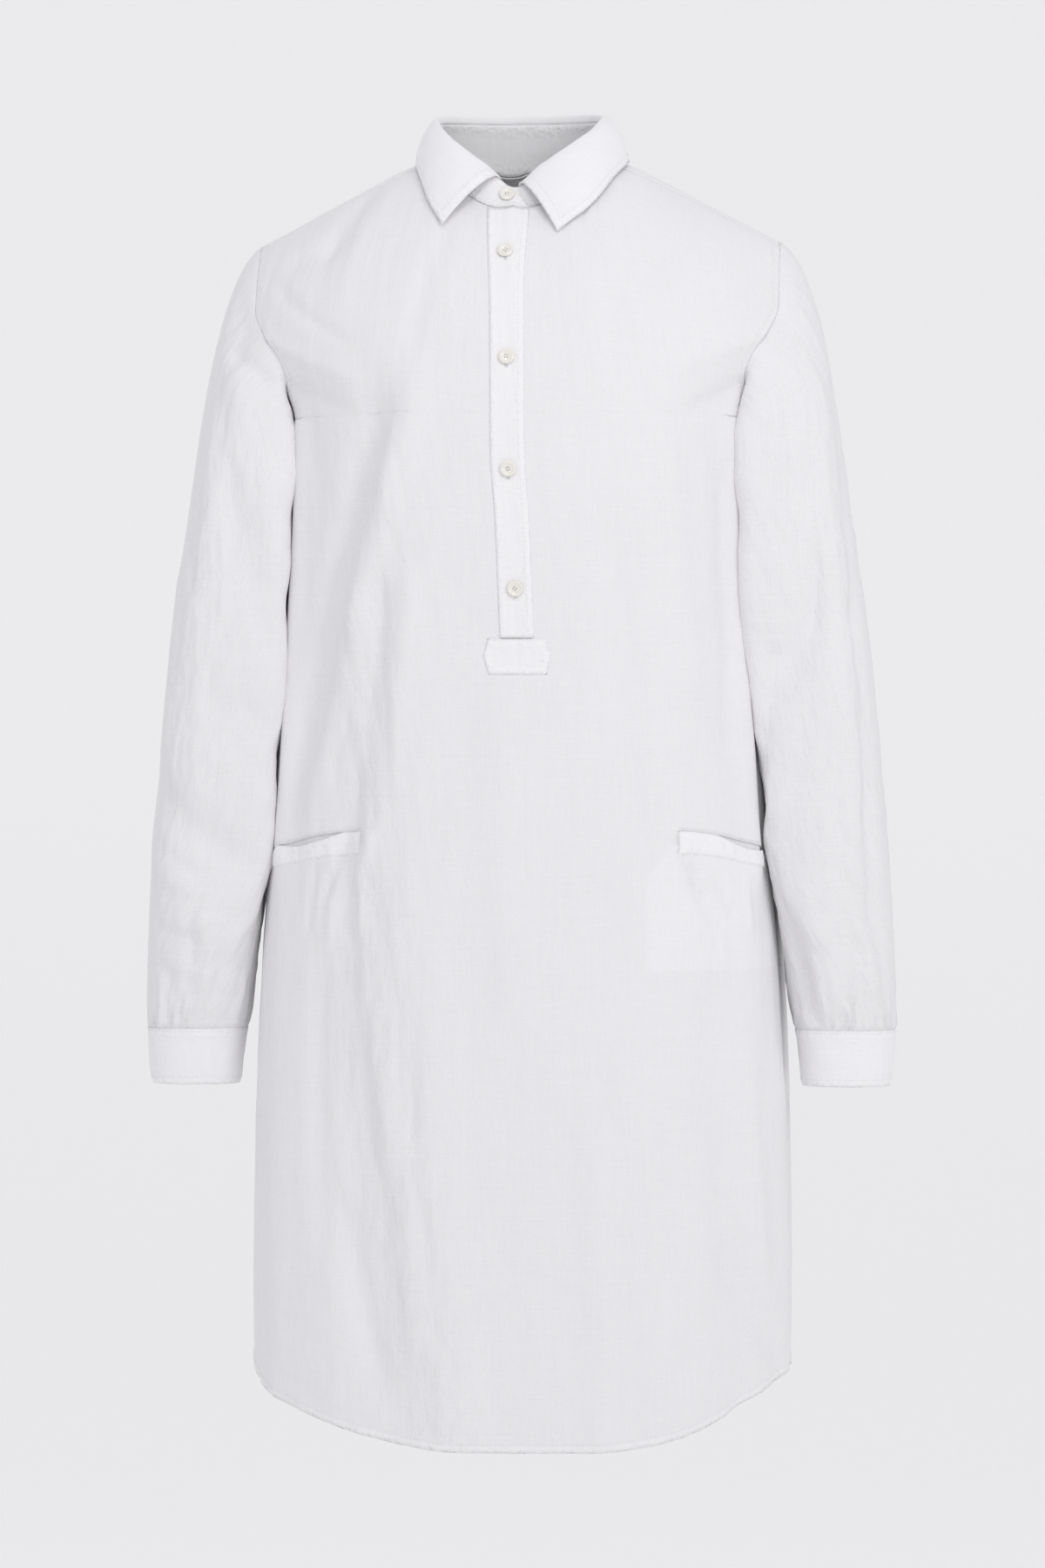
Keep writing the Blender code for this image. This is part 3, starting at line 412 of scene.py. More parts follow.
def crinkle(u, v, seed, wide, tall, height):
    """Soft uneven crinkles of washed linen, longer up and down than across, from places in metres."""
    flat = np.array([noise.noise(Vector((a / wide, b / tall, seed))) * 0.6
                     + noise.noise(Vector((a / wide * 2.3 + b / tall, b / tall * 1.7, seed + 9))) * 0.4
                     for a, b in zip(np.ravel(u), np.ravel(v))])
    return flat.reshape(np.shape(u)) * 2 * height


def crinkled(places, flat, *uneven):
    """A grid of places, moved in and out by crinkles."""
    return places + grid_normals(places) * crinkle(flat[..., 0], flat[..., 1], *uneven)[..., None]


def flat_lengths(places):
    """Where each place of a grid lies on the flat cloth, in metres across and up."""
    middle = places.shape[1] // 2
    u = run_lengths(places, 1)
    u -= u[:, middle:middle + 1]
    return np.stack([u, run_lengths(places[:, middle:middle + 1]) + np.zeros_like(u)], -1)


def from_edges(flat, foot=True, top=True):
    """How far each place on flat cloth lies from the nearest of its sides, foot and top."""
    near = [flat[..., 0] - flat[:, :1, 0], flat[:, -1:, 0] - flat[..., 0]]
    near += [flat[..., 1]] * foot + [flat[-1:, :, 1] - flat[..., 1]] * top
    return np.min(near, axis=0)


def cloth(name, places, flat, leave_out=None, closed=False, hems=None, doubled=0.0, creased=0.3,
          thick=SKIN):
    """A sheet of cloth from a grid of places on its outer face and their places on the flat cloth.

    leave_out is true in the squares that are cut away. The cloth's finish reads hems, how far each
    place lies from the nearest sewn edge in metres, for its puckers, creased, how crumpled it is,
    and doubled, from 0 to 1, where a second layer behind makes the cloth look whiter; on the front
    it is also kept lower over the left pocket bag, as painted shade.
    """
    hems = 0.1 if hems is None else hems
    marks = {"hem": hems, "doubled": doubled, "creased": creased}
    marks = {mark: np.broadcast_to(value, places.shape[:2]) for mark, value in marks.items()}
    high, wide = places.shape[0] - 1, places.shape[1] - 1
    grid = bmesh.new()
    bmesh.ops.create_grid(grid, x_segments=wide, y_segments=high, size=1.0)
    flat_map = grid.loops.layers.uv.new("flat")
    for mark in marks:
        grid.verts.layers.float.new(mark)
    slots = {grid.verts.layers.float[mark]: value for mark, value in marks.items()}
    at = {}
    for vertex in grid.verts:
        j, i = round((vertex.co.y + 1) / 2 * high), round((vertex.co.x + 1) / 2 * wide)
        at[vertex] = (j, i)
    doomed = []
    for face in grid.faces:
        for loop in face.loops:
            loop[flat_map].uv = flat[at[loop.vert]]
        if leave_out is not None:
            j, i = np.min([at[v] for v in face.verts], axis=0)
            if leave_out[j, i]:
                doomed.append(face)
    for vertex, spot in at.items():
        vertex.co = places[spot]
        for slot, value in slots.items():
            vertex[slot] = value[spot]
    if doomed:
        bmesh.ops.delete(grid, geom=doomed, context="FACES")
    if closed:
        bmesh.ops.remove_doubles(grid, verts=grid.verts, dist=1e-6)
    piece = as_object(name, grid, linen)
    wall = piece.modifiers.new("wall", "SOLIDIFY")
    wall.thickness = thick
    wall.offset = -1.0
    return piece


def hang(piece, node, flat, held, **more):
    """Parent a piece of linen to the root and hide the imported part of its node; the size it was cut to is
    not used.
    """
    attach(piece, "root")
    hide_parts(node)


def tucked(layers, reach, edge="top"):
    """Layers of a grid (places, normals and marks) with two rows or columns more past one edge,
    which lie under the piece that is sewn over it."""
    turned = edge in ("left", "right")
    layers = [np.swapaxes(layer, 0, 1) if turned else layer for layer in layers]
    layers = [layer[::-1] if edge == "left" else layer for layer in layers]
    places, normals = layers[:2]
    onward = places[-1] - places[-2]
    onward = onward / np.linalg.norm(onward, axis=-1, keepdims=True)
    reach = np.broadcast_to(reach, len(onward))[:, None]
    more = [places[-1] + onward * reach * share - normals[-1] * depth
            for share, depth in ((0.15, 0.0009), (1.0, 0.0014))]
    layers = [np.concatenate([places, more])] + [
        np.concatenate([layer, layer[-1:], layer[-1:]]) for layer in layers[1:]]
    layers = [layer[::-1] if edge == "left" else layer for layer in layers]
    return [np.swapaxes(layer, 0, 1) if turned else layer for layer in layers]


def inside_edge(places, inset, edge="foot", trim=0.0):
    """The line of places and normals that runs `inset` metres inside one edge of a grid."""
    layers = [places, grid_normals(places)]
    if edge in ("left", "right"):
        layers = [np.swapaxes(layer, 0, 1) for layer in layers]
    if edge in ("top", "right"):
        layers = [layer[::-1] for layer in layers]
    depth = run_lengths(layers[0])
    k = np.arange(depth.shape[1])
    row = np.array([np.interp(inset, depth[:, i], np.arange(len(depth))) for i in k])
    j = np.minimum(row.astype(int), len(depth) - 2)
    share = (row - j)[:, None]
    line, normal = (layer[j, k] * (1 - share) + layer[j + 1, k] * share for layer in layers)
    along = run_lengths(line)
    kept = (along >= trim) & (along <= along[-1] - trim)
    return line[kept], normal[kept]


cotton = finish("white_thread", {"Base Color": (0.88, 0.88, 0.88, 1), "Roughness": 0.7})


def stitches(name, lines, pitch=0.0030, size=(0.0011, 0.00022, 0.00018)):
    """Stitches of white thread along lines of places and normals, each a small flat grain."""
    grains = bmesh.new()
    for places, normals in lines:
        along = run_lengths(places)
        for at in np.arange(pitch / 2, along[-1], pitch):
            before, here, after = (Vector([np.interp(spot, along, places[:, k]) for k in range(3)])
                                   for spot in (at - pitch / 4, at, at + pitch / 4))
            up = Vector([np.interp(at, along, normals[:, k]) for k in range(3)])
            way = (after - before).normalized()
            up = (up - way * way.dot(up)).normalized()
            turn = Matrix((way, up.cross(way), up)).transposed().to_4x4()
            bmesh.ops.create_icosphere(grains, subdivisions=1, radius=1.0, matrix=Matrix.Translation(
                here + up * 0.0001) @ turn @ Matrix.Diagonal((*size, 1)))
    sewing = as_object(name, grains, cotton)
    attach(sewing, "root")


class Reading:
    """A shader value: wraps a node's output so that sums on it add Math nodes."""

    def __init__(self, tree, socket):
        self.tree, self.socket = tree, socket

    def join(self, socket, value):
        if isinstance(value, Reading):
            self.tree.links.new(value.socket, socket)
        else:
            socket.default_value = value

    def node(self, kind, settings=None, output=0, **inputs):
        """What any other node gives, from its settings and the values or readings of its sockets."""
        node = self.tree.nodes.new(kind)
        for setting, value in (settings or {}).items():
            setattr(node, setting, value)
        for name, value in inputs.items():
            numbered = name[0] == "i" and name[1:].isdigit()
            self.join(node.inputs[int(name[1:]) if numbered else name.replace("_", " ")], value)
        return Reading(self.tree, node.outputs[output])

    def maths(self, operation, *values):
        node = self.tree.nodes.new("ShaderNodeMath")
        node.operation = operation
        for socket, value in zip(node.inputs, values):
            self.join(socket, value)
        return Reading(self.tree, node.outputs[0])

    def __add__(self, other): return self.maths("ADD", self, other)
    def __radd__(self, other): return self.maths("ADD", other, self)
    def __sub__(self, other): return self.maths("SUBTRACT", self, other)
    def __rsub__(self, other): return self.maths("SUBTRACT", other, self)
    def __mul__(self, other): return self.maths("MULTIPLY", self, other)
    def __rmul__(self, other): return self.maths("MULTIPLY", other, self)

    def band(self, low, high):
        """0 below low, 1 above high."""
        return self.node("ShaderNodeMapRange", {"interpolation_type": "SMOOTHSTEP"},
                         Value=self, From_Min=low, From_Max=high)


def linen_finish(name, colour, whiter_by):
    """White linen: threads of uneven thickness both ways, fine crumples, and puckers at its hems."""
    material = finish(name, {"Roughness": 0.85, "Sheen Weight": 0.20, "Sheen Roughness": 0.5,
                             "Specular IOR Level": 0.2})
    start = Reading(material.node_tree, None)
    flat = start.node("ShaderNodeUVMap", {"uv_map": "flat"})
    hem, doubled, creased = (start.node("ShaderNodeAttribute", {"attribute_name": mark}, "Fac")
                             for mark in ("hem", "doubled", "creased"))

    def threads(across, along, detail=2.0):
        """Noise drawn out along a thread: so many per metre across and along."""
        stretched = start.node("ShaderNodeVectorMath", {"operation": "MULTIPLY"},
                               i0=flat, i1=(across, along, 1))
        return start.node("ShaderNodeTexNoise", None, "Fac", Vector=stretched, Scale=1.0, Detail=detail,
                          Roughness=0.55)

    warp, weft = threads(1700, 90), threads(80, 1600)
    slub_up, slub_across = threads(640, 16), threads(14, 600)
    crumple = threads(170, 60, 3.0)
    cloud = threads(22, 16, 3.0)
    weave = warp * 0.5 + weft * 0.5
    slubs = slub_up * 0.5 + slub_across * 0.5
    fold_edge = 1 - hem.band(0.0052, 0.0066)
    pucker = threads(260, 260, 1.0) * (1 - hem.band(0.003, 0.013))
    height = (weave * 0.00011 + slubs * 0.00012 + crumple * (creased * 0.0013 + 0.0002)
              + fold_edge * 0.00006 + pucker * 0.0011)
    shade = (slubs - 0.5) * 0.09 + (weave - 0.5) * 0.12 + (cloud - 0.5) * 0.03
    whiter = 1 + shade + (doubled + fold_edge * 0.3) * whiter_by
    shader = material.node_tree.nodes["Principled BSDF"]
    start.join(shader.inputs["Normal"], start.node("ShaderNodeBump", None, Strength=1.0, Distance=1.0,
                                                   Height=height))
    start.join(shader.inputs["Base Color"], start.node("ShaderNodeVectorMath", {"operation": "SCALE"},
                                                       Vector=colour, Scale=whiter))
    return material


LINEN_WHITE, DOUBLED_WHITER = (0.880, 0.875, 0.885), 0.060
linen = linen_finish("white_linen", LINEN_WHITE, DOUBLED_WHITER)

HEM_ROW, HEM_TURN = HEM_FRONT_Z - ARMPIT_Z, 0.007
MOUTH_ROW = POCKET_Z - ARMPIT_Z
MOUTH_OPEN = 0.011            # how deep the front is cut under a pocket mouth's upper edge
TAB_MIDDLE_ROW = (TAB_TOP_Z + TAB_BOTTOM_Z) / 2 - ARMPIT_Z
NECK_CORNER = 0.2745


class Panel:
    """A panel's grid of places and normals, and where its columns and rows lie."""

    def __init__(self, face, columns, rows, creases, seed):
        self.columns, self.rows = np.array(columns), np.array(rows)
        across, row = np.meshgrid(self.columns, self.rows)
        self.rise = panel_rise(face, across, row)
        self.angle = panel_angle(face, across, self.rise)
        self.places = body(face, self.angle, self.rise)
        self.flat = flat_lengths(self.places)
        self.normals = grid_normals(self.places)
        around = np.degrees(self.angle) if face == "front" else 180 - np.degrees(self.angle)
        z = self.places[..., 2]
        lift = fold_height(creases, around, z, ring_at(self.rise)[0])
        u, v = self.flat[..., 0], self.flat[..., 1]
        crushed = 0.0
        if face == "front":
            crushed, = between(CRUSHED_LINE, z)
            crushed = np.exp(-((around - crushed) / CRUSHED_WIDTH) ** 2) * smooth(-0.17, -0.24, z)
        self.creased = 0.3 + 0.7 * crushed
        lift += crinkle(u, v, seed, 0.012, 0.060, 0.0004)
        lift += crinkle(u, v, seed + 4, 0.0075, 0.045, 0.0013) * (0.15 + crushed)
        lift += crinkle(u, v, seed + 5, 0.019, 0.080, 0.0012) * crushed
        lift += crinkle(u, v, seed + 7, 0.020, 0.015, 0.0014) * smooth(0.035, 0.0, v)
        lift *= smooth(0.0, FLAT_AT_SEAM, run_lengths(self.places[::-1])[::-1])
        self.places = self.places + self.normals * lift[..., None]

    def at(self, across, row, out=0.0):
        """Places on the panel, moved out along its normals."""
        across, row = np.broadcast_arrays(np.asarray(across, float), np.asarray(row, float))
        way = np.sign(self.columns[-1] - self.columns[0])
        i = np.clip(np.searchsorted(way * self.columns, way * across, side="right") - 1,
                    0, len(self.columns) - 2)
        j = np.clip(np.searchsorted(self.rows, row, side="right") - 1, 0, len(self.rows) - 2)
        u = ((across - self.columns[i]) / (self.columns[i + 1] - self.columns[i]))[..., None]
        v = ((row - self.rows[j]) / (self.rows[j + 1] - self.rows[j]))[..., None]

        def mixed(grid):
            low = grid[j, i] * (1 - u) + grid[j, i + 1] * u
            high = grid[j + 1, i] * (1 - u) + grid[j + 1, i + 1] * u
            return low * (1 - v) + high * v
        return mixed(self.places) + mixed(self.normals) * np.asarray(out, float)[..., None]


front_marks = [SLOT_ACROSS, 0.066, NECK_CORNER, *POCKET_ACROSS, 1.0]
front_columns = stops([-mark for mark in reversed(front_marks)] + front_marks, 0.0122)
front_rows = np.concatenate([
    stops([HEM_ROW, HEM_ROW + HEM_TURN, MOUTH_ROW - MOUTH_OPEN, MOUTH_ROW, TAB_MIDDLE_ROW, 0.0],
          0.0038)[:-1],
    stops([0.0, 1.0], 0.0165)])
front_panel = Panel("front", front_columns, front_rows, FRONT_CREASES, 3.0)

HEM_DEPTH, HEM_DOUBLES = (0.0068, 0.0062), 0.4      # the hem's second layer ends between these
# how far inside its edges a piece is stitched
HEM_STITCHED, SEAM_STITCHED, EDGE_STITCHED = 0.0060, (0.0050, 0.0068), 0.0016
# how far cloth runs on under the piece that is sewn over it
SEAM_TUCK, SIDE_TUCK, SHORT_TUCK = 0.0070, 0.0060, 0.0012


def panel_edges(panel):
    """How far each place of a panel lies from its hem and armholes, and how far the hem doubles it."""
    along, foot = run_lengths(panel.places, 1), run_lengths(panel.places)
    sides = np.where((panel.rows > 0)[:, None], np.minimum(along, along[:, -1:] - along), 0.1)
    return np.minimum(foot, sides), HEM_DOUBLES * smooth(*HEM_DEPTH, foot)


def panel_stitches(name, panel):
    upper = panel.places[panel.rows > 0]
    stitches(name, [inside_edge(panel.places, HEM_STITCHED)] + [
        inside_edge(upper, inset, edge) for inset in SEAM_STITCHED for edge in ("left", "right")])


front_hems, hem_doubled = panel_edges(front_panel)
front_around, front_z = np.degrees(front_panel.angle), front_panel.places[..., 2]
# the pocket bags show through the front as a whiter patch; the one on the viewer's left is painted weaker,
# as painted shade on that side
bag_edge = 30 + 6 * smooth(-0.530, -0.500, front_z)
bag_shows = (smooth(-0.5925, -0.5905, front_z) * smooth(-0.500, -0.504, front_z)
             * smooth(bag_edge, bag_edge + 0.8, abs(front_around)) * smooth(88, 86, abs(front_around)))
# painted shade: the left bag patch gets 0.15 of the whitening and the right one 0.55
front_doubled_and_painted_shade = np.maximum(bag_shows * np.where(front_around > 0, 0.55, 0.15), hem_doubled)
from_mouth = abs(front_panel.rows[:, None] - MOUTH_ROW + 0.006) - 0.006
from_mouth = np.hypot(np.maximum(from_mouth, 0), 0.17 * np.maximum(np.maximum(
    POCKET_ACROSS[0] - abs(front_panel.columns), abs(front_panel.columns) - POCKET_ACROSS[1]), 0)[None, :])
front_hems = np.minimum(front_hems, from_mouth + 0.0055)

across_mid = abs(front_panel.columns[:-1] + front_panel.columns[1:]) / 2
row_mid = (front_panel.rows[:-1] + front_panel.rows[1:]) / 2
in_slot = (across_mid[None, :] < SLOT_ACROSS) & (row_mid[:, None] > TAB_MIDDLE_ROW)
in_mouth = ((row_mid[:, None] > MOUTH_ROW - MOUTH_OPEN) & (row_mid[:, None] < MOUTH_ROW)
            & (across_mid[None, :] > POCKET_ACROSS[0]) & (across_mid[None, :] < POCKET_ACROSS[1]))
cut_out = np.pad(in_slot | in_mouth, ((0, 2), (0, 0)))
under_yoke = np.where(abs(front_panel.columns) < NECK_CORNER, SHORT_TUCK, SEAM_TUCK)
places, _, flat, hems, doubled = tucked(
    [front_panel.places, front_panel.normals, front_panel.flat, front_hems, front_doubled_and_painted_shade], under_yoke)
creased = np.pad(front_panel.creased, ((0, 2), (0, 0)), mode="edge")
front = cloth("front_linen", places, flat, cut_out, hems=hems, doubled=doubled, creased=creased)
hang(front, "front", flat=(0.60, 0.96), area=0.46, held="hung")
panel_stitches("front_stitches", front_panel)

# ---------------------------------------------------------------- back
# One panel of the same linen from the straight seam under the yoke to the longer curve of the
# shirt tail. It hangs in soft upright folds from the shoulder blades.

back_columns = stops([1.0, -1.0], 0.018)
back_rows = np.concatenate([stops([HEM_ROW, HEM_ROW + HEM_TURN, 0.0], 0.0055)[:-1],
                            stops([0.0, 1.0], 0.03)])
back_panel = Panel("back", back_columns, back_rows, BACK_CREASES, 17.0)
back_hems, hem_doubled = panel_edges(back_panel)
layers = [back_panel.places, back_panel.normals, back_panel.flat, back_hems, hem_doubled]
under_front = np.where(back_panel.rows <= 0, SIDE_TUCK, 0.0002)
for edge, reach in (("left", under_front), ("right", under_front), ("top", SEAM_TUCK)):
    layers = tucked(layers, reach, edge)
places, _, flat, hems, doubled = layers
back = cloth("back_linen", places, flat, hems=hems, doubled=doubled, creased=0.6)
hang(back, "back", flat=(0.60, 0.87), area=0.42, held="hung")
panel_stitches("back_stitches", back_panel)

# ---------------------------------------------------------------- yoke
# A double piece over both shoulders, from its front seams a little forward of the shoulder line
# to the straight seam across the back, with the neck cut out of it. Its seams are topstitched.

YOKE_ARMHOLE_X = ARMHOLE_X[1] - SEAM / 2
YOKE_NECK_START = atan2(YOKE_FRONT[0][0], NECK_CENTRE_Y - YOKE_FRONT[0][1]) + SEAM / 2 / NECK_RADIUS
YOKE_NECK_CORNER = radians(103)


def dome_rise(face, x, y):
    return halve(lambda r: abs(y) - abs(plain_body(face, angle_of(x, r), r)[..., 1]),
                 0.3, pi / 2 - 1e-4, x.shape)


def on_dome(x, y, out=0.0):
    """Places on the shoulder dome that lie at x and y in plan."""
    x, y, out = (np.array(a, float) for a in np.broadcast_arrays(x, y, out))
    found = np.empty(x.shape + (3,))
    for face, here in (("front", y < 0), ("back", y >= 0)):
        rise = dome_rise(face, x[here], y[here])
        found[here] = body(face, angle_of(x[here], rise), rise, out[here])
    return found


def around_neck(radius, angle):
    """Plan place at an angle round the neck from the centre front, positive to the right."""
    return radius * np.sin(angle), NECK_CENTRE_Y - radius * np.cos(angle)


def back_seam(x):
    """The y of the seam under the yoke at the back."""
    x = np.asarray(x, float)
    rise = halve(lambda r: plain_body("back", angle_of(x, r), r)[..., 2] - YOKE_BACK_Z - SEAM / 2,
                 0.05, 1.5, x.shape)
    return plain_body("back", angle_of(x, rise), rise)[..., 1]


yoke_armhole_y = stops([YOKE_FRONT[1][1] + SEAM / 2, float(back_seam(YOKE_ARMHOLE_X))], 0.0045)
share = (yoke_armhole_y - yoke_armhole_y[0]) / np.ptp(yoke_armhole_y)
right_ends = [(YOKE_ARMHOLE_X, y, YOKE_NECK_START + (YOKE_NECK_CORNER - YOKE_NECK_START) * s)
              for y, s in zip(yoke_armhole_y, share)]
seam_x = stops([YOKE_ARMHOLE_X, -YOKE_ARMHOLE_X], 0.0055)[1:-1]
back_ends = [(x, y, pi - (pi - YOKE_NECK_CORNER) * x / YOKE_ARMHOLE_X)
             for x, y in zip(seam_x, back_seam(seam_x))]
left_ends = [(-x, y, tau - turn) for x, y, turn in reversed(right_ends)]
yoke_ends = np.array(right_ends + back_ends + left_ends)
outward = stops([1.0, 0.0], 0.035)[:, None]
neck_x, neck_y = around_neck(NECK_RADIUS, yoke_ends[:, 2])
yoke_places = on_dome(neck_x + (yoke_ends[:, 0] - neck_x) * outward,
                      neck_y + (yoke_ends[:, 1] - neck_y) * outward)
yoke_places = crinkled(yoke_places, yoke_places, 31.0, 0.02, 0.02, 0.0003)
yoke_lengths = np.stack([run_lengths(yoke_places, 1), run_lengths(yoke_places)], -1)
places, _, flat, hems = tucked([yoke_places, grid_normals(yoke_places), yoke_places[..., :2],
                                from_edges(yoke_lengths, top=False)], SHORT_TUCK)
yoke = cloth("yoke_linen", places, flat, hems=hems, doubled=0.5)
hang(yoke, "yoke", flat=(0.44, 0.16), area=0.056, held="stretched")
armhole_end = len(right_ends)
yoke_back = yoke_places[:, armhole_end:-armhole_end]
stitches("yoke_stitches", [inside_edge(yoke_places, EDGE_STITCHED, "left"),
                           inside_edge(yoke_places, EDGE_STITCHED, "right"),
                           inside_edge(yoke_back, EDGE_STITCHED)]
         + [inside_edge(yoke_places[:, part], inset) for inset in SEAM_STITCHED
            for part in (slice(None, armhole_end), slice(-armhole_end, None))])

# ---------------------------------------------------------------- sleeves
# Two set-in sleeves of one piece each. They hang against the sides of the body, a little bent at
# the elbow, with soft diagonal creases, and are gathered slightly into the cuffs.

SIDES = (("left", -1), ("right", 1))
CUFF_TOP_Z, CUFF_BOTTOM_Z = -0.639, -0.681
SLEEVE_RINGS = [              # z, inner x, outer x, front y, back y
    (-0.681, 0.2095, 0.2760, -0.040, 0.026),
    (-0.660, 0.2075, 0.2785, -0.042, 0.028),
    (-0.639, 0.2045, 0.2790, -0.043, 0.029),
    (-0.621, 0.2010, 0.2790, -0.049, 0.033),
    (-0.588, 0.1965, 0.2785, -0.056, 0.037),
    (-0.530, 0.1925, 0.2755, -0.064, 0.039),
    (-0.458, 0.1875, 0.2700, -0.070, 0.041),
    (-0.390, 0.1835, 0.2640, -0.073, 0.044),
    (-0.325, 0.1785, 0.2565, -0.075, 0.047),
    (-0.260, 0.1760, 0.2470, -0.075, 0.051),
    (-0.200, 0.1745, 0.2390, -0.070, 0.055),
]
SLEEVE_HEAD_Z = -0.200
SLEEVE_HEAD_REACH = (0.028, 0, -0.017)
UNDERARM_EASE = -0.001
HUG_CLEARANCE = 0.002         # between the side of the body and a sleeve that hangs against it
HUG_POWER = 4.0               # how square a ring's inner half is there
HUG_TURNS = (radians(95), radians(165))
HUG_BELOW_Z, HUG_ABOVE_Z = (-0.155, -0.190), (-0.60, -0.52)
# folds as on the body, by the turn round the sleeve in degrees (0 outer side, 90 front, 180 inner)
SLEEVE_FOLDS = {
    "left": [
        (68, -110, 118, -163, 12, -4), (66, -183, 100, -264, 15, -4), (85, -165, 125, -290, 14, 3),
        (114, -413, 139, -440, 18, -5), (50, -469, 113, -512, 13, -5), (55, -520, 95, -560, 16, 4),
        (240, -300, 300, -480, 18, -5), (280, -450, 220, -560, 16, -4),
    ],
    "right": [
        (80, -250, 82, -325, 16, -5), (86, -335, 112, -370, 16, -5), (114, -375, 136, -450, 18, -6),
        (12, -180, 30, -335, 13, -3), (31, -337, 48, -560, 12, -3), (134, -500, 127, -632, 16, -5),
        (97, -500, 106, -615, 15, 4), (250, -280, 300, -430, 18, -5), (290, -440, 230, -560, 16, -4),
    ],
}
# smaller creases, in the same columns
SLEEVE_CREASES = {
    "left": [
        (80, -143, 113, -160, 6, -2.2), (75, -125, 108, -150, 6, 1.8), (100, -262, 113, -300, 8, -2.5),
        (118, -240, 131, -290, 8, 2), (112, -310, 128, -365, 7, -2), (40, -180, 52, -300, 9, -1.8),
        (30, -310, 42, -420, 8, 1.6), (62, -330, 80, -400, 9, 1.4), (96, -360, 110, -430, 8, 1.8),
        (55, -509, 87, -523, 6, -2.4), (60, -538, 96, -548, 5, -2), (52, -565, 84, -573, 5, -2.2),
        (66, -590, 96, -598, 5, 2), (84, -556, 86, -590, 4.5, -2), (62, -600, 74, -628, 4.5, -2),
        (100, -560, 108, -620, 6, 2), (118, -560, 112, -625, 6, -2.2), (250, -210, 262, -340, 9, -2),
        (282, -360, 265, -440, 8, 2), (258, -520, 285, -545, 7, -2.2), (270, -570, 300, -590, 6, 2),
        # where it presses the body
        (126, -135, 140, -225, 14, 6), (142, -370, 146, -510, 12, 5),
    ],
    "right": [
        (4, -164, 23, -264, 6, -1.8), (23, -264, 31, -337, 6, -2), (31, -337, 45, -476, 6, -2.2),
        (45, -476, 48, -548, 6, -2.2), (48, -548, 38, -602, 6, -2), (77, -292, 84, -325, 7, -2.4),
        (93, -347, 109, -364, 7, -2.2), (124, -404, 138, -440, 8, -2.4), (138, -440, 150, -480, 8, -2),
        (92, -372, 118, -412, 7, 2), (68, -180, 74, -250, 8, -1.6), (100, -190, 96, -260, 8, 1.6),
        (60, -400, 66, -520, 8, 1.4), (76, -440, 84, -560, 8, -1.8), (134, -522, 128, -634, 7, -2),
        (112, -540, 116, -620, 6, 2), (70, -580, 78, -630, 5, -2.2), (58, -590, 52, -630, 5, 1.8),
        (250, -220, 264, -330, 9, 2), (286, -340, 268, -430, 8, -2.2), (256, -510, 288, -530, 7, 2),
        (272, -565, 302, -585, 6, -2.2), (126, -135, 140, -225, 14, 6), (140, -300, 146, -500, 12, 4),
    ],
}


def level_ring(side, turn, z, out=0.0):
    """Places on level rings of a sleeve or cuff, `out` beyond them."""
    inner, outer, front_y, back_y = between(SLEEVE_RINGS, z)
    c, s = np.cos(turn), np.sin(turn)
    against_body = smooth(*HUG_ABOVE_Z, z) * smooth(*HUG_BELOW_Z, z)
    power = 2.25 + (HUG_POWER - 2.25) * against_body * (c < 0)
    reach = (abs(c) ** power + abs(s) ** power) ** (-1 / power)
    x = (outer + inner) / 2 + ((outer - inner) / 2 + out) * reach * c
    y = (back_y + front_y) / 2 - ((back_y - front_y) / 2 + out) * reach * s
    half_width, front, back = ring_at(z - ARMPIT_Z)
    depth = np.where(y < 0, front, back)
    flatness = np.maximum(1 - (abs(y) / depth) ** CHEST_POWER, 0) ** (1 / CHEST_POWER)
    hug = against_body * smooth(*HUG_TURNS, pi - abs(turn - pi))
    x = x + (half_width * flatness + HUG_CLEARANCE - x) * hug
    return np.stack(np.broadcast_arrays(side * x, y, z), -1)


def armhole_edge(side, inset=0.0, out=0.0):
    """Round an armhole from its front seam down and up the back: places, and turns of the sleeve."""
    down = stops([1.0, 0.0], 0.022)
    over_y = stops([float(back_seam(YOKE_ARMHOLE_X)), YOKE_FRONT[1][1]], 0.0036)[1:-1]
    over = [("front" if y < 0 else "back",
             float(dome_rise("front" if y < 0 else "back", np.array([ARMHOLE_X[1]]), np.array([y]))[0]))
            for y in over_y]
    edge = ([("front", d * float(front_top(np.array([1.0]))[0])) for d in down]
            + [("back", d * float(back_top(np.array([1.0]))[0])) for d in reversed(down[:-1])] + over)
    places, turns = [], []
    for face, rise in edge:
        rise = np.array(rise)
        angle = angle_of(armhole_x(rise), rise) - inset / ring_at(rise)[0]
        places.append(body(face, side * angle, rise, out))
        turn = pi * (1 - (float(rise) / (pi / 2)) ** (2 / 3))
        turns.append(turn if face == "front" else tau - turn)
    order = slice(None, None, -1) if side > 0 else slice(None)
    places, turns = places[order], turns[order]
    return np.array(places + places[:1]), np.array(turns + turns[:1])


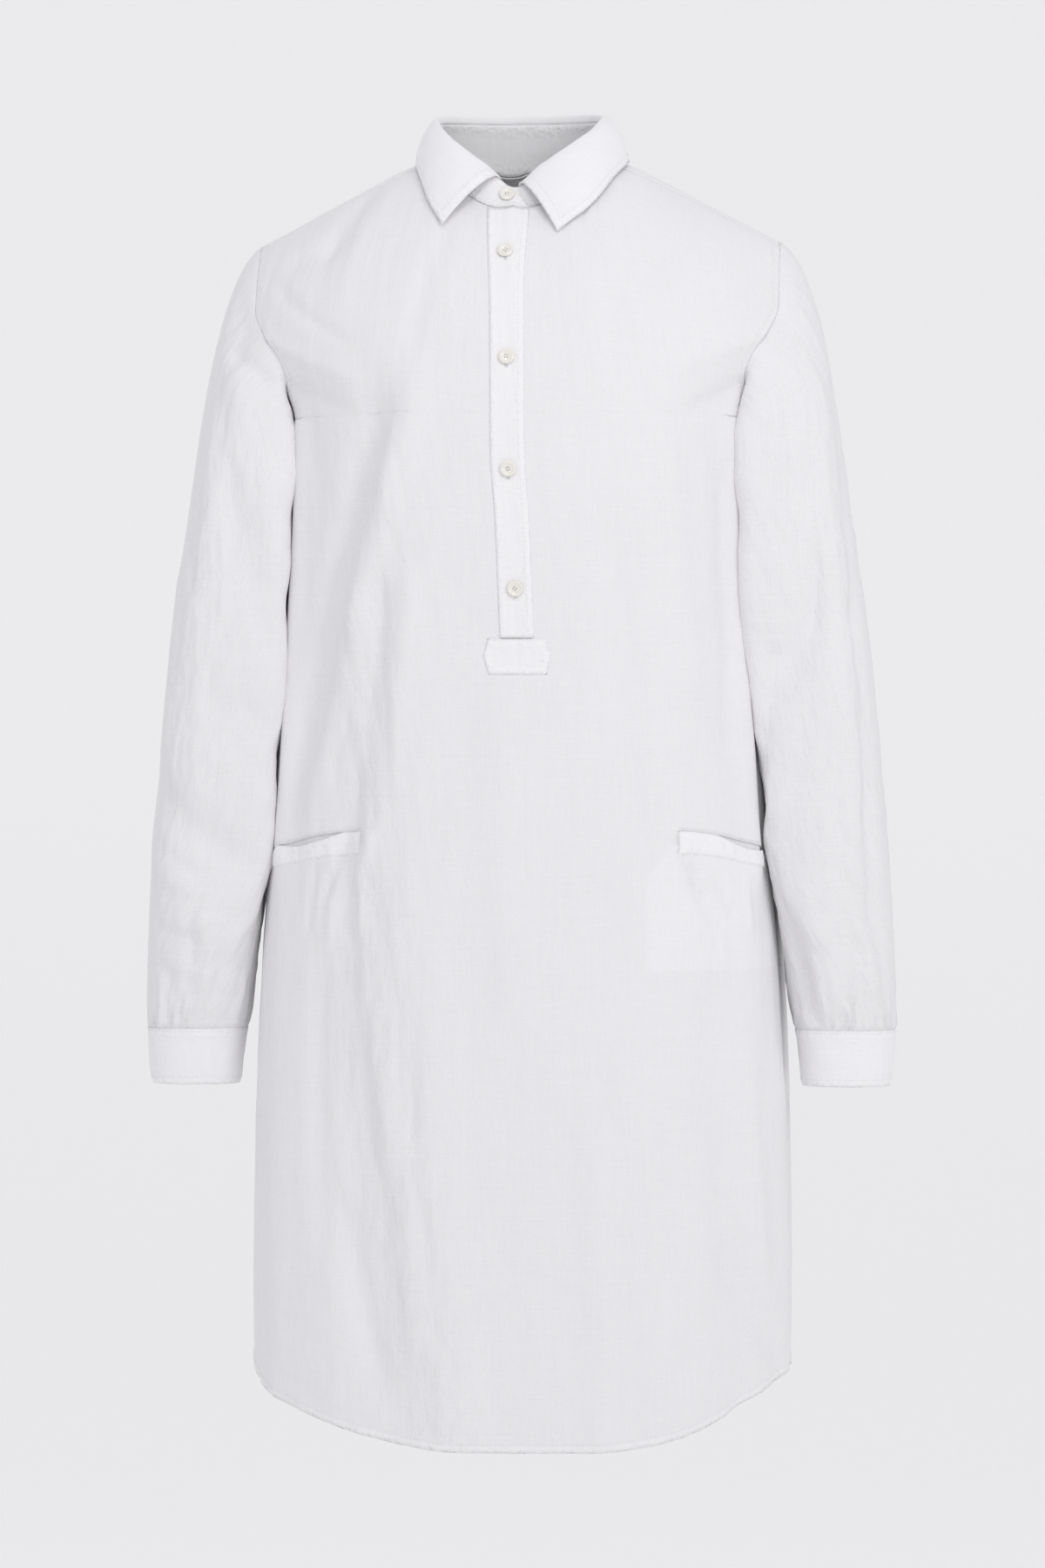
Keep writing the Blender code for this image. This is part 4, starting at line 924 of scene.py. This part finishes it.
def sleeve_surface(name, side):
    """Places and flat places of a sleeve, levels from the cuff up to the armhole."""
    start, turns = armhole_edge(side)
    start = start + np.array([side * SEAM, 0, SEAM / 2])
    below = stops([CUFF_TOP_Z, SLEEVE_HEAD_Z], 0.0036)
    head = stops([0.0, 1.0], 0.03)[1:]
    hanging = level_ring(side, turns[None, :], below[:, None])
    ring = level_ring(side, turns, SLEEVE_HEAD_Z)
    outer_share = (np.cos(turns / 2) ** 2)[:, None]
    reach = np.array(SLEEVE_HEAD_REACH) * (side, 1, 1)
    ease = (ring - start) / 2 + np.array([side * UNDERARM_EASE, 0, 0])
    middle = start + reach * outer_share + ease * (1 - outer_share)
    level = head[:, None, None]
    over = start * level**2 + middle * (2 * level * (1 - level)) + ring * (1 - level) ** 2
    places = np.concatenate([hanging, over])
    levels = np.concatenate([np.zeros(len(below)), head])[:, None]
    flat = flat_lengths(places)
    fade = smooth(1.0, 0.6, levels) * smooth(CUFF_TOP_Z, CUFF_TOP_Z + 0.03, places[..., 2])
    lift = fold_height(SLEEVE_FOLDS[name] + SLEEVE_CREASES[name], np.degrees(turns)[None, :],
                       places[..., 2], 0.045) * fade
    near_cuff = smooth(CUFF_TOP_Z + 0.055, CUFF_TOP_Z, places[..., 2]) * smooth(
        CUFF_TOP_Z - 0.001, CUFF_TOP_Z + 0.004, places[..., 2])
    around = np.degrees(turns)[None, :] + np.zeros_like(lift)
    gathers = crinkle(around, places[..., 2], 5.0 + side, 8.0, 0.08, 0.0026)
    gathers[:, -1] = gathers[:, 0]
    wrinkles = (crinkle(flat[..., 0], flat[..., 1], 41.0 + side, 0.013, 0.040, 0.0008)
                + crinkle(flat[..., 0], flat[..., 1], 47.0 + side, 0.009, 0.022, 0.0009))
    seam_fade = smooth(0.0, 0.03, np.minimum(flat[..., 0] - flat[:, :1, 0], flat[:, -1:, 0] - flat[..., 0]))
    lift = lift + gathers * near_cuff + wrinkles * seam_fade * fade
    places = places + grid_normals(places, closed=True) * lift[..., None]
    in_cuff = [level_ring(side, turns, CUFF_TOP_Z - deep, -0.0012) for deep in (0.006, 0.0006)]
    under_body = [armhole_edge(side, inset, -0.0010)[0] for inset in (SHORT_TUCK, SEAM_TUCK)]
    places = np.concatenate([in_cuff, places, under_body])
    places[:, -1] = places[:, 0]
    return places, np.concatenate([flat[:1], flat[:1], flat, flat[-1:], flat[-1:]])


for name, side in SIDES:
    places, flat = sleeve_surface(name, side)
    sleeve = cloth("sleeve_linen_" + name, places, flat, closed=True, hems=run_lengths(places) + 0.008,
                   creased=1.0)
    hang(sleeve, "sleeve_" + name, flat=(0.36, 0.56), area=0.155, held="hung")

# ---------------------------------------------------------------- cuffs
# A folded strip round each wrist, its ends lapped and buttoned at the back, with a line of
# topstitching just inside every edge.

CUFF_LAP, CUFF_LAP_AT = radians(32), radians(262)


def cuff_place(side, turn, z):
    """Places on a cuff's strip. Its first end lies under its last, so it starts one layer in."""
    under = LAYER * (1 - smooth(CUFF_LAP, CUFF_LAP * 2.4, turn))
    rounding = 0.0035 * smooth(CUFF_BOTTOM_Z + 0.006, CUFF_BOTTOM_Z, z) ** 2
    return level_ring(side, turn + CUFF_LAP_AT - CUFF_LAP, z, -under - rounding / 3)


for name, side in SIDES:
    turns = stops([0.0, tau + CUFF_LAP], 0.045)
    if side > 0:
        turns = turns[::-1]
    levels = stops([CUFF_BOTTOM_Z, CUFF_TOP_Z - SEAM], 0.0021)[:, None]
    places = cuff_place(side, turns[None, :], levels)
    flat = flat_lengths(places)
    places = crinkled(places, flat, 61.0 + side, 0.014, 0.014, 0.0004)
    cuff = cloth("cuff_linen_" + name, places, flat, thick=STIFFENED, doubled=1.0, hems=from_edges(flat))
    hang(cuff, "cuff_" + name, flat=(0.25, 0.042), held="stretched")
    stitches("cuff_stitches_" + name, [
        inside_edge(places, 0.0055, "foot"), inside_edge(places, 0.0020, "top"),
        inside_edge(places, 0.0020, "left" if side > 0 else "right", 0.004)])

# ---------------------------------------------------------------- collar stand
# A stiffened strip round the neck seam. Its right end passes under its left one at the centre
# front, where the first button holds them.

STAND_LAP, LAP_SLANT = radians(10.5), 0.85
STAND_ENDS = (radians(-376.2), STAND_LAP)
STAND_TOP = [                 # angle round the neck from the centre front, radius, z, roll of leaf
    (-20, 0.0555, -0.0060, 0.012),
    (0, 0.0550, -0.0200, 0.011),
    (20, 0.0555, -0.0060, 0.012),
    (45, 0.0570, 0.0100, 0.013),
    (68, 0.0580, 0.0230, 0.013),
    (90, 0.0590, 0.0330, 0.014),
    (135, 0.0610, 0.0390, 0.020),
    (180, 0.0620, 0.0410, 0.024),
]


def from_front(angle):
    """Angles of the strip, which runs round the neck, as degrees from the centre front."""
    return abs(np.degrees((angle + pi) % tau - pi))


def under_lap(angle):
    """How far in the stand lies where its right end runs under the left one."""
    inset = 2.0 * LAYER * smooth(-tau + 3.2 * STAND_LAP, -tau + 1.2 * STAND_LAP, angle)
    return np.where(angle > -pi, 0.0, inset)


def stand_place(angle, up):
    """Places on the stand's strip, from its under end round the back to its upper end."""
    angle, up = np.broadcast_arrays(np.asarray(angle, float), np.asarray(up, float))
    at_top = np.where(angle > 0, angle * (1 - LAP_SLANT), angle)
    radius, z, _ = between(STAND_TOP, from_front(at_top))
    foot = on_dome(*around_neck(NECK_RADIUS, angle), SEAM)
    foot[..., 2] += SEAM
    head = np.stack([*around_neck(radius, at_top), z], -1)
    inward = np.stack([-np.sin(angle), np.cos(angle), np.zeros_like(angle)], -1)
    return foot + (head - foot) * up[..., None] + inward * under_lap(angle)[..., None]


stand_angles = stops([STAND_ENDS[0], -pi, STAND_ENDS[1]], 0.045)
stand_places = stand_place(stand_angles[None, :], stops([0.0, 1.0], 0.07)[:, None])
flat = flat_lengths(stand_places)
stand = cloth("collar_stand_linen", stand_places, flat, thick=STIFFENED, hems=from_edges(flat), doubled=1.0)
hang(stand, "collar_stand", flat=(0.42, 0.030), held="stretched")
stitches("stand_stitches", [inside_edge(stand_places, 0.0018),
                            inside_edge(stand_places, 0.0018, "right", 0.002)])

# ---------------------------------------------------------------- collar leaf
# The soft leaf of the collar, cut with two points. It stands up from the stand, rolls over and
# falls to the shoulders, topstitched a presser foot's width inside its free edges.

LEAF_EDGE = [                 # angle round the neck, x and y of the free edge, left point to right
    (-356, 0.0340, -0.0880),
    (-334, 0.0560, -0.0740),
    (-305, 0.0710, -0.0480),
    (-275, 0.0800, -0.0150),
    (-240, 0.0740, 0.0300),
    (-210, 0.0440, 0.0650),
    (-180, 0.0, 0.0760),
    (-150, -0.0440, 0.0650),
    (-120, -0.0720, 0.0300),
    (-85, -0.0760, -0.0150),
    (-55, -0.0705, -0.0450),
    (-30, -0.0610, -0.0700),
    (-10, -0.0510, -0.0840),
]
LEAF_CLEARANCE, LEAF_SWELL = 0.0030, 0.007


def leaf_place(angle, down):
    """Places on the leaf's visible face, from its roll on the stand to its free edge."""
    angle, down = np.broadcast_arrays(np.asarray(angle, float), np.asarray(down, float))
    radius, z, roll_rise = between(STAND_TOP, from_front(angle))
    edge_x, edge_y = between(LEAF_EDGE, np.degrees(angle))
    edge = on_dome(edge_x, edge_y, LEAF_CLEARANCE)
    level = np.zeros_like(angle)
    outward = np.stack([np.sin(angle), -np.cos(angle), level], -1)
    start = np.stack([*around_neck(radius - 0.0002 - under_lap(angle), angle), z + 0.0002], -1)
    rise = start + outward * 0.002 + np.stack([level, level, roll_rise], -1)
    fall = start + (edge - start) * 0.55 + outward * LEAF_SWELL + np.array([0, 0, 0.009])
    t, u = down[..., None], 1 - down[..., None]
    return start * u**3 + rise * (3 * u * u * t) + fall * (3 * u * t * t) + edge * t**3


leaf_angles = stops([radians(-356.7), radians(-9.9)], 0.035)
leaf_down = stops([1.0, 0.0], 0.035)
leaf_places = leaf_place(leaf_angles[None, :], leaf_down[:, None])
flat = flat_lengths(leaf_places)
leaf_places = crinkled(leaf_places, flat, 71.0, 0.02, 0.02, 0.0004)
leaf = cloth("collar_leaf_linen", leaf_places, flat, thick=FOLDED, hems=from_edges(flat, top=False),
             doubled=1.0)
hang(leaf, "collar_leaf", flat=(0.46, 0.068), area=0.0245, held="draped", rests_on=["collar_stand_linen"])
stitches("leaf_stitches", [inside_edge(leaf_places, 0.0058, "foot", 0.005),
                           inside_edge(leaf_places[:, 1:-1], 0.0052, "left", 0.005),
                           inside_edge(leaf_places[:, 1:-1], 0.0052, "right", 0.005)])

# ---------------------------------------------------------------- placket
# Two folded strips sewn to the slit: the upper one has the button holes and is stitched along
# both edges, and the under one behind it carries the buttons. A six-sided tab closes its foot.

PLACKET_WIDTH, PLACKET_FLARE = 0.025, 0.003
TAB_WIDTH, TAB_POINT = 0.042, 0.0035
PLACKET_OUT, EDGE_OUT = 0.0013, 0.0004      # outer face over the front, and at the sewn edges


def across_at(x, row):
    """How far across the front a distance from its middle comes, on a row."""
    rise = panel_rise("front", np.zeros_like(row), row)
    edge = np.where(rise > 0, np.minimum(pi / 2, angle_of(armhole_x(rise), rise)), pi / 2)
    return angle_of(x, rise) / edge


placket_rows = np.concatenate([stops([TAB_TOP_Z - ARMPIT_Z + SEAM, 0.0], 0.003)[:-1],
                               stops([0.0, 0.985], 0.012)])[:, None]
placket_sides = stops([-1.0, -0.9, 0.9, 1.0], 0.12)[None, :]
rows, sides = np.broadcast_arrays(placket_rows, placket_sides)
flare = PLACKET_FLARE * smooth(0.5, 1.0, rows)
out = EDGE_OUT + (PLACKET_OUT - EDGE_OUT) * smooth(1.0, 0.9, abs(sides))
upper_places = front_panel.at(across_at(sides * (PLACKET_WIDTH / 2 + flare), rows), rows, out)
upper_flat = flat_lengths(upper_places)
placket = cloth("placket_upper_linen", upper_places, upper_flat, doubled=1.0, thick=FOLDED,
                hems=from_edges(upper_flat, foot=False, top=False))
under_places = front_panel.at(across_at(sides * (PLACKET_WIDTH / 2 - 0.001), rows),
                              np.minimum(rows, 0.95), -LAYER)
placket_under = cloth("placket_under_linen", under_places, upper_flat, thick=FOLDED)

tab_rows = stops([TAB_BOTTOM_Z - ARMPIT_Z, TAB_MIDDLE_ROW, TAB_TOP_Z - ARMPIT_Z], 0.0013)[:, None]
rows, sides = np.broadcast_arrays(tab_rows, stops([-1.0, -0.94, 0.94, 1.0], 0.06)[None, :])
share = (rows - rows[0]) / np.ptp(rows)
half = TAB_WIDTH / 2 + TAB_POINT * (1 - abs(2 * share - 1))
out = EDGE_OUT + (PLACKET_OUT - EDGE_OUT) * smooth(1.0, 0.94, abs(sides)) * smooth(
    0.0, 0.0012, np.minimum(rows - rows[0], rows[-1] - rows))
tab_places = front_panel.at(across_at(sides * half, rows), rows, out)
tab_flat = flat_lengths(tab_places)
tab_hems = np.minimum(half - abs(sides * half), np.minimum(rows - rows[0], rows[-1] - rows))
tab = cloth("placket_tab_linen", tab_places, tab_flat, hems=tab_hems, doubled=1.0, thick=STIFFENED)
for piece, node, cut in ((placket, "placket_top", (0.031, 0.32)),
                         (placket_under, "placket_under", (0.026, 0.31)),
                         (tab, "placket_tab", (0.046, 0.026))):
    hang(piece, node, flat=cut, held="stretched", rests_on=["front_linen"])
stitches("placket_stitches", [
    inside_edge(upper_places, 0.0017, "left"), inside_edge(upper_places, 0.0045, "right"),
    *(inside_edge(tab_places, 0.0015, edge, 0.001) for edge in ("foot", "top", "left", "right"))])

# ---------------------------------------------------------------- pockets
# Side-slit pockets: the mouth's lower lip is a folded welt, and a flat bag hangs behind the front.

WELT_HEIGHT, BAG_DEPTH = 0.014, 0.100
MOUTH_GAPES = 0.0050                      # how far the lower lip sags at most
LIP_IN, LIP_OUT = -0.0010, 0.0020         # where it lies: under the front's edge or open
WELT_OUT, WELT_PUCKERS = 0.0011, 0.0011   # how far a welt stands off the front, and its puckers
BAG_IN = 0.0011                           # how far a bag hangs behind the front
STITCHED_ABOVE = 0.0022                   # from the mouth up to the row of stitches over it
GAPING = {"left": (0.04, 0.80), "right": (0.22, 0.98)}      # the open part of each mouth
mouth_foot = MOUTH_ROW - POCKET_GAPE - SEAM
for name, side in SIDES:
    share, height = np.meshgrid(stops([0.0, 1.0], 0.02), stops([0.0, 0.1, 0.88, 1.0], 0.09))
    across = side * (POCKET_ACROSS[0] + (POCKET_ACROSS[1] - POCKET_ACROSS[0]) * share)
    across = np.sort(across, axis=1)
    share = (abs(across) - POCKET_ACROSS[0]) / (POCKET_ACROSS[1] - POCKET_ACROSS[0])
    low, high = GAPING[name]
    gape = np.sin(np.clip((share - low) / (high - low), 0, 1) * pi) ** 1.3
    foot, lip = mouth_foot - WELT_HEIGHT, MOUTH_ROW + 0.002 - (0.002 + MOUTH_GAPES) * gape
    rows = foot + (lip - foot) * height
    puckers = crinkle(share * 0.1, height * 0.01, 91.0 + side, 0.005, 0.02, WELT_PUCKERS)
    sewn_down = smooth(0.0, 0.25, height) * smooth(0.0, 0.03, share) * smooth(1.0, 0.97, share)
    out = (WELT_OUT + puckers) * sewn_down
    lip_out = LIP_IN + (LIP_OUT - LIP_IN) * gape
    out = out - 0.0001 + (lip_out - out) * smooth(0.62, 1.0, height)
    welt_places = front_panel.at(across, rows, out)
    bag_across = side * stops([POCKET_ACROSS[0] - 0.05, POCKET_ACROSS[1] + 0.03], 0.014)
    bag_rows = stops([mouth_foot - BAG_DEPTH, MOUTH_ROW + 0.012], 0.004)[:, None]
    bag_places = front_panel.at(np.sort(bag_across)[None, :], bag_rows, -BAG_IN)
    for kind, places in (("welt", welt_places), ("bag", bag_places)):
        flat = flat_lengths(places)
        piece = cloth("pocket_%s_linen_%s" % (kind, name), places, flat, hems=from_edges(flat),
                      doubled=float(kind == "welt"))
        hang(piece, "pocket_%s_%s" % (kind, name), held="hung", rests_on=["front_linen"],
             flat=(0.105, 0.014) if kind == "welt" else (0.12, 0.115))
    above, one_out = (front_panel.at(np.sort(across[0]), MOUTH_ROW + STITCHED_ABOVE, away)
                      for away in (0.0, 1.0))
    stitches("pocket_stitches_" + name, [
        inside_edge(welt_places, 0.0015, "foot"), inside_edge(welt_places, 0.0013, "left"),
        inside_edge(welt_places, 0.0013, "right"), (above, one_out - above)])

# ---------------------------------------------------------------- buttons
# Cream shell buttons of 18 ligne with a raised rim and four holes, sewn with white thread. Five
# close the front, the first on the stand, and one closes each cuff.

BUTTON_RADIUS, BUTTON_THICKNESS, BUTTON_SEAT = 0.0057, 0.0022, 0.0006
BUTTON_Z = [-0.071, -0.150, -0.231, -0.317]
HOLE_RADIUS, HOLE_SPREAD = 0.00062, 0.00115
BUTTONHOLE_LENGTH, BUTTONHOLE_HALF = 0.014, 0.0007      # and how far its two sides lie from its middle


def shell_finish():
    """Cream mother-of-pearl: cloudy, with a soft gloss and thin darker growth lines."""
    material = finish("cream_shell", {"Roughness": 0.22, "Coat Weight": 0.3})
    start = Reading(material.node_tree, None)
    place = start.node("ShaderNodeTexCoord", None, "Object")
    cloud = start.node("ShaderNodeTexNoise", None, "Fac", Vector=place, Scale=260.0, Detail=2.0)
    growth = start.node("ShaderNodeTexWave", {"wave_type": "BANDS"}, "Fac", Vector=place,
                        Scale=190.0, Distortion=6.0, Detail=2.0)
    mixed = start.node("ShaderNodeMix", {"data_type": "RGBA"}, 2, i0=cloud * 0.7 + growth * 0.3,
                       i6=(0.86, 0.83, 0.74, 1), i7=(0.95, 0.93, 0.88, 1))
    start.join(material.node_tree.nodes["Principled BSDF"].inputs["Base Color"], mixed)
    return material


shell = shell_finish()


def turn_button(name, node, centre, normal, spin):
    """Turn a button's profile round its axis, drill four holes and sew it on with two bars."""
    disc = bmesh.new()
    profile = [(0.0, 0.62), (0.50, 0.62), (0.66, 0.80), (0.80, 1.0), (0.92, 0.92), (1.0, 0.60),
               (0.97, 0.25), (0.82, 0.05), (0.60, 0.0), (0.0, 0.0)]
    corners = [disc.verts.new((r * BUTTON_RADIUS, 0, h * BUTTON_THICKNESS)) for r, h in profile]
    edges = [disc.edges.new(pair) for pair in zip(corners, corners[1:])]
    bmesh.ops.spin(disc, geom=corners + edges, cent=(0, 0, 0), axis=(0, 0, 1), angle=tau, steps=40,
                   use_merge=True)
    bmesh.ops.remove_doubles(disc, verts=disc.verts, dist=1e-6)
    bmesh.ops.recalc_face_normals(disc, faces=disc.faces)
    drills = bmesh.new()
    for k in range(4):
        x, y = HOLE_SPREAD * cos(k * pi / 2 + pi / 4), HOLE_SPREAD * sin(k * pi / 2 + pi / 4)
        bmesh.ops.create_cone(drills, cap_ends=True, segments=12, radius1=HOLE_RADIUS, radius2=HOLE_RADIUS,
                              depth=0.01, matrix=Matrix.Translation((x, y, 0)))
    blank, drill = as_object(name + "_blank", disc), as_object(name + "_drill", drills)
    cut = blank.modifiers.new("holes", "BOOLEAN")
    cut.object = drill
    cut.operation = "DIFFERENCE"
    cut.solver = "EXACT"
    bpy.context.view_layer.update()
    drilled = bpy.data.meshes.new_from_object(blank.evaluated_get(bpy.context.evaluated_depsgraph_get()))
    for thing in (blank, drill):
        bpy.data.objects.remove(thing, do_unlink=True)
    up = Vector((0, 0, 1)).rotation_difference(Vector(normal)).to_matrix().to_4x4()
    seat = (Matrix.Translation(Vector(centre) + Vector(normal) * BUTTON_SEAT) @ up
            @ Matrix.Rotation(spin, 4, "Z"))
    drilled.transform(seat)
    button = bpy.data.objects.new(name, drilled)
    bpy.context.scene.collection.objects.link(button)
    for face in drilled.polygons:
        face.use_smooth = True
    drilled.set_sharp_from_angle(angle=radians(40))
    drilled.materials.clear()
    drilled.materials.append(shell)
    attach(button, "root")
    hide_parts(node)
    bars = bmesh.new()
    reach = HOLE_SPREAD * cos(pi / 4)
    for y in (-reach, reach):
        for strand in (-0.00022, 0.00022):
            squash = Matrix.Diagonal((reach + 0.0003, 0.00024, 0.00022, 1))
            bmesh.ops.create_icosphere(bars, subdivisions=2, radius=1.0, matrix=Matrix.Translation(
                (0, y + strand, BUTTON_THICKNESS * 0.70)) @ squash)
    bmesh.ops.transform(bars, matrix=seat, verts=bars.verts)
    sewing = as_object(name + "_thread", bars, cotton, smooth=False)
    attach(sewing, "root")


def facing(places):
    """Centre and outward normal of a surface, from its middle and four places round it."""
    middle, a, b, c, d = places
    normal = np.cross(b - a, d - c)
    normal /= np.linalg.norm(normal)
    return middle, normal * (1 if normal @ np.array([0, -1, 0.1]) > 0 else -1)


def buttonhole(centre, along, normal):
    """The two worked sides of a buttonhole, for stitches that lie across it."""
    along = along / np.linalg.norm(along)
    side = np.cross(normal, along)
    run = np.linspace(-BUTTONHOLE_LENGTH / 2, BUTTONHOLE_LENGTH / 2, 8)[:, None] * along
    return [(centre + run + side * off, np.broadcast_to(normal, run.shape))
            for off in (-BUTTONHOLE_HALF, BUTTONHOLE_HALF)]


round_about = np.array([(0, 0), (-1, 0), (1, 0), (0, -1), (0, 1)], float)
spots = stand_place(radians(-4.6) + round_about[:, 0] * 0.03, 0.55 + round_about[:, 1] * 0.03)
turn_button("shell_button_1", "button_1", *facing(spots), 0.3)
across_hole = spots[1] - spots[2]
across_hole = across_hole / np.linalg.norm(across_hole)
holes = buttonhole(spots[0] + across_hole * 0.0022, across_hole, facing(spots)[1])
for number, z in enumerate(BUTTON_Z, start=2):
    row = np.array(z - ARMPIT_Z)
    if row > 0:
        row = halve(lambda r: front_panel.at(0.0, r)[..., 2] - z, 0.0, 0.99, ())
    spots = front_panel.at(round_about[:, 0] * 0.02, row + round_about[:, 1] * 0.004, PLACKET_OUT)
    turn_button("shell_button_%d" % number, "button_%d" % number, *facing(spots), 0.5 * number)
    down = spots[3] - spots[4]
    holes += buttonhole(spots[0] + down / np.linalg.norm(down) * 0.0010, down, facing(spots)[1])
stitches("buttonhole_stitches", holes, 0.00042, (0.00020, 0.00070, 0.00022))
for name, side in SIDES:
    spots = cuff_place(side, tau + CUFF_LAP * 0.45 + round_about[:, 0] * 0.05,
                       (CUFF_TOP_Z + CUFF_BOTTOM_Z) / 2 + round_about[:, 1] * 0.003)
    centre, normal = facing(spots)
    if normal @ (centre - np.array([side * 0.243, 0, centre[2]])) < 0:
        normal = -normal
    turn_button("shell_button_cuff_" + name, "button_cuff_" + name, centre, normal, 0.2)
